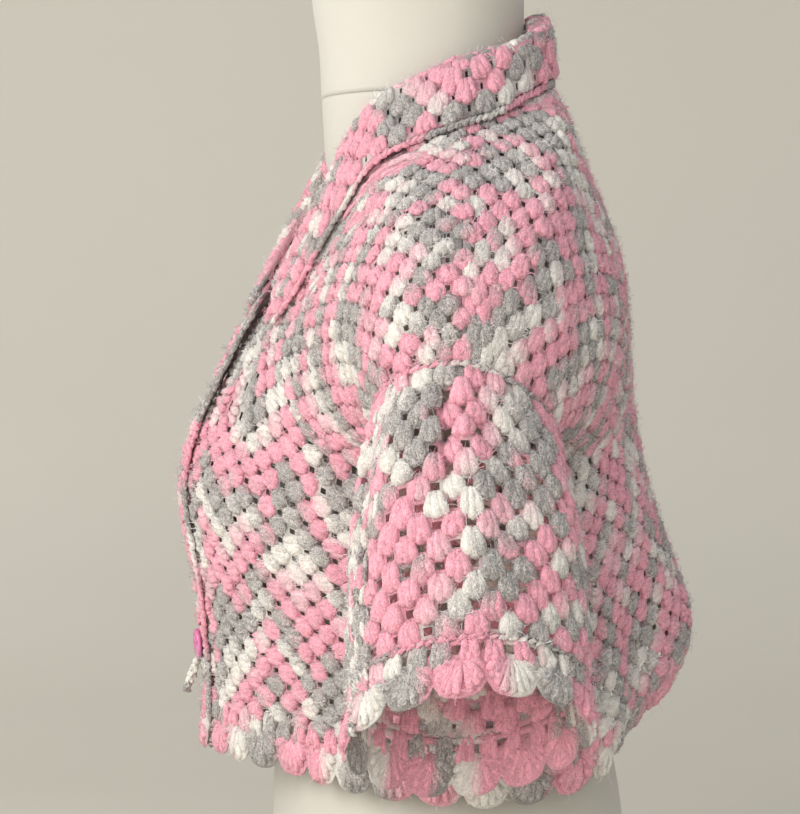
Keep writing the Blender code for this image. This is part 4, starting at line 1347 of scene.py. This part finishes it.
def drawn_strands(heap, chart, path, half, count, start_length):
    """Long pale strands side by side down a fold where the stitches are drawn out."""
    levels, places = zip(*path)
    for _ in range(count):
        length = rng.uniform(0.07, 0.14)
        top = rng.uniform(levels[0], levels[-1] - length)
        off = rng.normal(0.0, 0.5 * half)
        s = [np.interp(top, levels, places) + off,
             np.interp(top + length, levels, places) + off + rng.uniform(-0.3, 0.3) * half]
        ends, normals = chart.at(s, [top, top + length])
        pale = yarn_colour(start_length + rng.uniform(-0.35, 0.5) + 1.2 * (rng.uniform() < 0.4))
        lift = rng.uniform(0.0002, 0.0016)
        heap.add(ends[0] + normals[0] * lift, ends[1] + normals[1] * lift, normals[0],
                 0.0014, 0.0020, shaded(pale, rng.uniform(0.9, 1.05)), arch=0.0009)


CREAM_START = 1.7           # yarn length at which the cream begins
for heap, chart in ((sleeve_left_heap, sleeve_left_chart), (sleeve_right_heap, sleeve_right_chart)):
    drawn_strands(heap, chart, FOLD_PATH, 0.022, 170, CREAM_START)
CUFF_FOLD = ((-0.1, 0.302), (1.0, 0.288))
for heap, chart in ((cuff_left_heap, cuff_left_chart), (cuff_right_heap, cuff_right_chart)):
    drawn_strands(heap, chart, CUFF_FOLD, 0.012, 30, CREAM_START)

collar_edge_heap = Trebles()
ROPE_POINTS = 300
line, normals = chart_line(collar_chart, 1.0, 0.0, 0.01, 0.99, ROPE_POINTS)
outwards = line - chart_line(collar_chart, 0.97, 0.0, 0.01, 0.99, ROPE_POINTS)[0]
outwards /= np.linalg.norm(outwards, axis=1, keepdims=True)
ridge(collar_edge_heap, line + outwards * (CORD_RADIUS + 2.0 * SEAM), normals, 0.0046, 0.0019, 0.9,
      lean=0.9, long=1.7)

front_edge_heap = Trebles()
front_line = []
front_normals = []
for level in spread(0.035, V_POINT - 0.01, 80):
    if level > UNDERARM:
        half_width = armhole(level)[0]
    else:
        half_width = column(BODY, BODY_COLUMNS, "half_width", level)
    off_edge = (CORD_RADIUS + 2.0 * SEAM) / half_width / (0.5 * math.pi)
    place = 4.0 - neck_around(level) + off_edge
    normal = body_normal(place, level)
    front_line.append(lapped(place, level) - 0.0007 * normal)
    front_normals.append(normal)
ridge(front_edge_heap, front_line, np.array(front_normals), 0.0050, 0.0021, 2.2, lean=1.0, long=1.5,
      grey_from=0.72)

# ---- sheets and their trebles --------------------------------------------------------
FLAT = {             # flat size of each cut piece: width, length, area
    "front_left": (0.250, 0.370, 0.080),
    "front_right": (0.250, 0.370, 0.080),
    "back": (0.520, 0.370, 0.166),
    "sleeve_left": (0.360, 0.150, 0.049),
    "sleeve_right": (0.360, 0.150, 0.049),
    "collar": (0.630, 0.085, 0.042),
    "hem_edging": (1.020, 0.031, 0.030),
    "cuff_left": (0.380, 0.032, 0.0112),
    "cuff_right": (0.380, 0.032, 0.0112),
}
ON_FORM = ["form_torso"]
panels = (
    ("front_left", front_left_cloth, front_left_heap, "variegated_yarn", ON_FORM),
    ("front_right", front_right_cloth, front_right_heap, "variegated_yarn", ON_FORM),
    ("back", back_cloth, back_heap, "variegated_yarn", ON_FORM),
    ("sleeve_left", sleeve_left_cloth, sleeve_left_heap, "variegated_yarn", ["front_left"]),
    ("sleeve_right", sleeve_right_cloth, sleeve_right_heap, "variegated_yarn", ["front_right"]),
    ("collar", collar_cloth, collar_heap, "variegated_yarn", ["front_left", "front_right", "back"]),
    ("hem_edging", hem_cloth, hem_heap, "shell_yarn", ["back"]),
    ("cuff_left", cuff_left_cloth, cuff_left_heap, "shell_yarn", ["sleeve_left"]),
    ("cuff_right", cuff_right_cloth, cuff_right_heap, "shell_yarn", ["sleeve_right"]),
)
for name, cloth, heap, slot_name, under in panels:
    trebles = heap.mesh(name + "_trebles", YARN)
    fibres = fuzz(name + "_fibres", heap, FUZZ_SHARE, YARN)
    dress(cloth, slot_name, name)
    dress(trebles, slot_name)
    dress(fibres, slot_name)
    width, length, area = FLAT[name]
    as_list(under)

collar_rope = collar_edge_heap.mesh("collar_rope_edge", YARN)
dress(collar_rope, "edge_yarn", "collar_edge")
front_rope = front_edge_heap.mesh("front_rope_edge", YARN)
dress(front_rope, "edge_yarn", "front_edge")

# ---- button and its tongue -------------------------------------------------------------
seat, seat_normal = button_seat()


def resin_button():
    """Round button with a raised rim, turned about its middle."""
    bm = bmesh.new()
    half = 0.5 * BUTTON_THICK
    profile = [(0.0005, 0.55), (0.0045, 0.50), (0.0058, 0.62), (0.0070, 1.0), (0.0080, 0.85),
               (0.0088, 0.2), (0.0086, -0.4), (0.0074, -0.9), (0.0040, -1.0), (0.0005, -1.0)]
    ring = [bm.verts.new((r, 0.0, z * half)) for r, z in profile]
    edges = [bm.edges.new((a, b)) for a, b in zip(ring, ring[1:])]
    bmesh.ops.spin(bm, geom=ring + edges, cent=(0, 0, 0), axis=(0, 0, 1), angle=2.0 * math.pi,
                   steps=40, use_merge=True, use_duplicate=False)
    bmesh.ops.remove_doubles(bm, verts=bm.verts, dist=1e-6)
    bmesh.ops.holes_fill(bm, edges=[e for e in bm.edges if e.is_boundary], sides=0)
    bmesh.ops.recalc_face_normals(bm, faces=bm.faces)
    turn = seat_normal.to_track_quat("Z", "Y").to_matrix().to_4x4()
    centre = seat + seat_normal * (half + BUTTON_CLEAR)
    bmesh.ops.transform(bm, matrix=Matrix.Translation(centre) @ turn, verts=bm.verts)
    return placed_smooth("resin_button", bm, RESIN)


dress(resin_button(), "button_plastic", "button")

tongue_heap = Trebles()
root = seat + seat_normal * (0.6 * TAB_RADIUS + 2.0 * SEAM)
root.z -= BUTTON_RADIUS + SEAM
hang = Vector((0.0, -0.34, -0.94))
TONGUE_STITCHES = 6
TONGUE_STRANDS = 3      # round each stitch
STRAND_OFF = 0.0012     # a strand's middle off the tongue's own


def round_tongue(turn):
    """Place of a strand round the tongue's middle line."""
    return (Vector((1.0, 0.0, 0.0)) * math.cos(turn)
            + hang.cross(Vector((1.0, 0.0, 0.0))) * math.sin(turn)) * STRAND_OFF


for k in range(TONGUE_STITCHES):
    share = k / TONGUE_STITCHES
    for strand in range(TONGUE_STRANDS):
        turn = 2.0 * math.pi * (strand + 0.4 * k) / TONGUE_STRANDS
        a = root + hang * TAB_LENGTH * share + round_tongue(turn)
        b = root + hang * TAB_LENGTH * min(share + 0.24, 1.0) + round_tongue(turn + 0.7)
        colour = np.array(linear(CREAM_YARN, 0.3) if share < 0.6 else linear(GREY_YARN, 1.0))
        tongue_heap.add(a, b, np.array((1.0, 0.0, 0.0)), 0.0014, 0.0018, colour, flat=1.0)
dress(tongue_heap.mesh("button_tongue", YARN), "shell_yarn", "button_tab")

# ---- dress form ----------------------------------------------------------------------
FORM_SIDES = 96


def smooth_form(name, table, steps, node):
    """The form's jersey skin: the table's rings with even rings between them."""
    bm = bmesh.new()
    bmesh.ops.create_grid(bm, x_segments=FORM_SIDES, y_segments=steps, size=1.0)
    places = [k / (len(table) - 1.0) for k in range(len(table))]
    rings = []
    for share in spread(0.0, 1.0, steps + 1):
        row = []
        for c in range(7):
            fine = [(p, line[c]) for p, line in zip(places, table)]
            row.append(column(fine, ("at", "value"), "value", share))
        rings.append(row)
    for vert in bm.verts:
        i = int(round((vert.co.x + 1.0) * 0.5 * FORM_SIDES)) % FORM_SIDES
        j = int(round((vert.co.y + 1.0) * 0.5 * steps))
        side_z, front_z, back_z, half_width, front, back, fullness = rings[j]
        across, forward = squircle(2.0 * math.pi * i / FORM_SIDES, fullness)
        depth = front if forward > 0.0 else back
        centre_z = front_z if forward > 0.0 else back_z
        vert.co = (half_width * across, -depth * forward, side_z + (centre_z - side_z) * abs(forward))
    bmesh.ops.remove_doubles(bm, verts=bm.verts, dist=1e-6)
    bmesh.ops.holes_fill(bm, edges=[e for e in bm.edges if e.is_boundary], sides=0)
    bmesh.ops.recalc_face_normals(bm, faces=bm.faces)
    dress(placed_smooth(name, bm, JERSEY), "form_jersey", node)


smooth_form("torso_cover", TORSO, 90, "form_torso")
smooth_form("neck_cover", FORM_NECK, 40, "form_neck")

# ---- studio --------------------------------------------------------------------------
def backdrop():
    """One sweep of paper: floor, a wide bend and a wall behind."""
    bm = bmesh.new()
    profile = [(-3.0, 0.0), (0.8, 0.0), (1.2, 0.03), (1.5, 0.14), (1.7, 0.36), (1.8, 0.8), (1.8, 3.0)]
    line = [bm.verts.new((x, -4.0, z)) for x, z in profile]
    edges = [bm.edges.new((a, b)) for a, b in zip(line, line[1:])]
    out = bmesh.ops.extrude_edge_only(bm, edges=edges)
    moved = [v for v in out["geom"] if isinstance(v, bmesh.types.BMVert)]
    bmesh.ops.translate(bm, verts=moved, vec=(0.0, 8.0, 0.0))
    bmesh.ops.rotate(bm, verts=bm.verts, cent=(0, 0, 0),
                     matrix=Matrix.Rotation(CAMERA_TURN + 0.5 * math.pi, 3, "Z"))
    floor = min(bm.faces, key=lambda f: f.calc_center_median().z)
    floor.normal_update()
    if floor.normal.z < 0.0:
        bmesh.ops.reverse_faces(bm, faces=bm.faces)
    made = placed_smooth("paper_sweep", bm, PAPER)


backdrop()


def soft_light(name, size, power, place):
    """A large square studio lamp that faces the middle of the part."""
    lamp = bpy.data.lights.new(name, "AREA")
    lamp.size = size
    lamp.energy = power
    lamp.color = (1.0, 0.98, 0.95)
    made = bpy.data.objects.new(name, lamp)
    made.location = place
    aim = Vector((0.0, 0.0, 0.35)) - Vector(place)
    made.rotation_euler = aim.to_track_quat("-Z", "Y").to_euler()
    bpy.context.scene.collection.objects.link(made)


def studio_place(side, back, height):
    """A place by the camera's own right, towards it and up."""
    spot = right * side - ahead * back
    return (spot.x, spot.y, height)


soft_light("key", 1.5, 30.0, studio_place(-1.6, 1.0, 1.2))
soft_light("fill", 1.8, 22.0, studio_place(-0.3, 1.9, 0.5))


def glow(name, place, power):
    """A weak warm lamp inside a sleeve, hidden from the camera.

    It stands for light that filters through the pale yarn, and isn't studio light.
    """
    lamp = bpy.data.lights.new(name, "POINT")
    lamp.energy = power
    lamp.color = (1.0, 0.72, 0.62)
    lamp.shadow_soft_size = 0.02
    made = bpy.data.objects.new(name, lamp)
    made.location = place
    made.visible_camera = False
    bpy.context.scene.collection.objects.link(made)


GLOW_POWER = 0.018
GLOW_COLUMN = 14        # of the sleeve's chart, about a third of the way down
for name, chart in (("left_glow", sleeve_left_chart), ("right_glow", sleeve_right_chart)):
    glow(name, chart.points[:, GLOW_COLUMN].mean(axis=0), GLOW_POWER)
world = bpy.data.worlds.new("studio")
bpy.context.scene.world = world
world.use_nodes = True
world.node_tree.nodes["Background"].inputs["Color"].default_value = (0.95, 0.97, 1.0, 1.0)
world.node_tree.nodes["Background"].inputs["Strength"].default_value = 0.50
bpy.context.scene.view_settings.view_transform = "Standard"
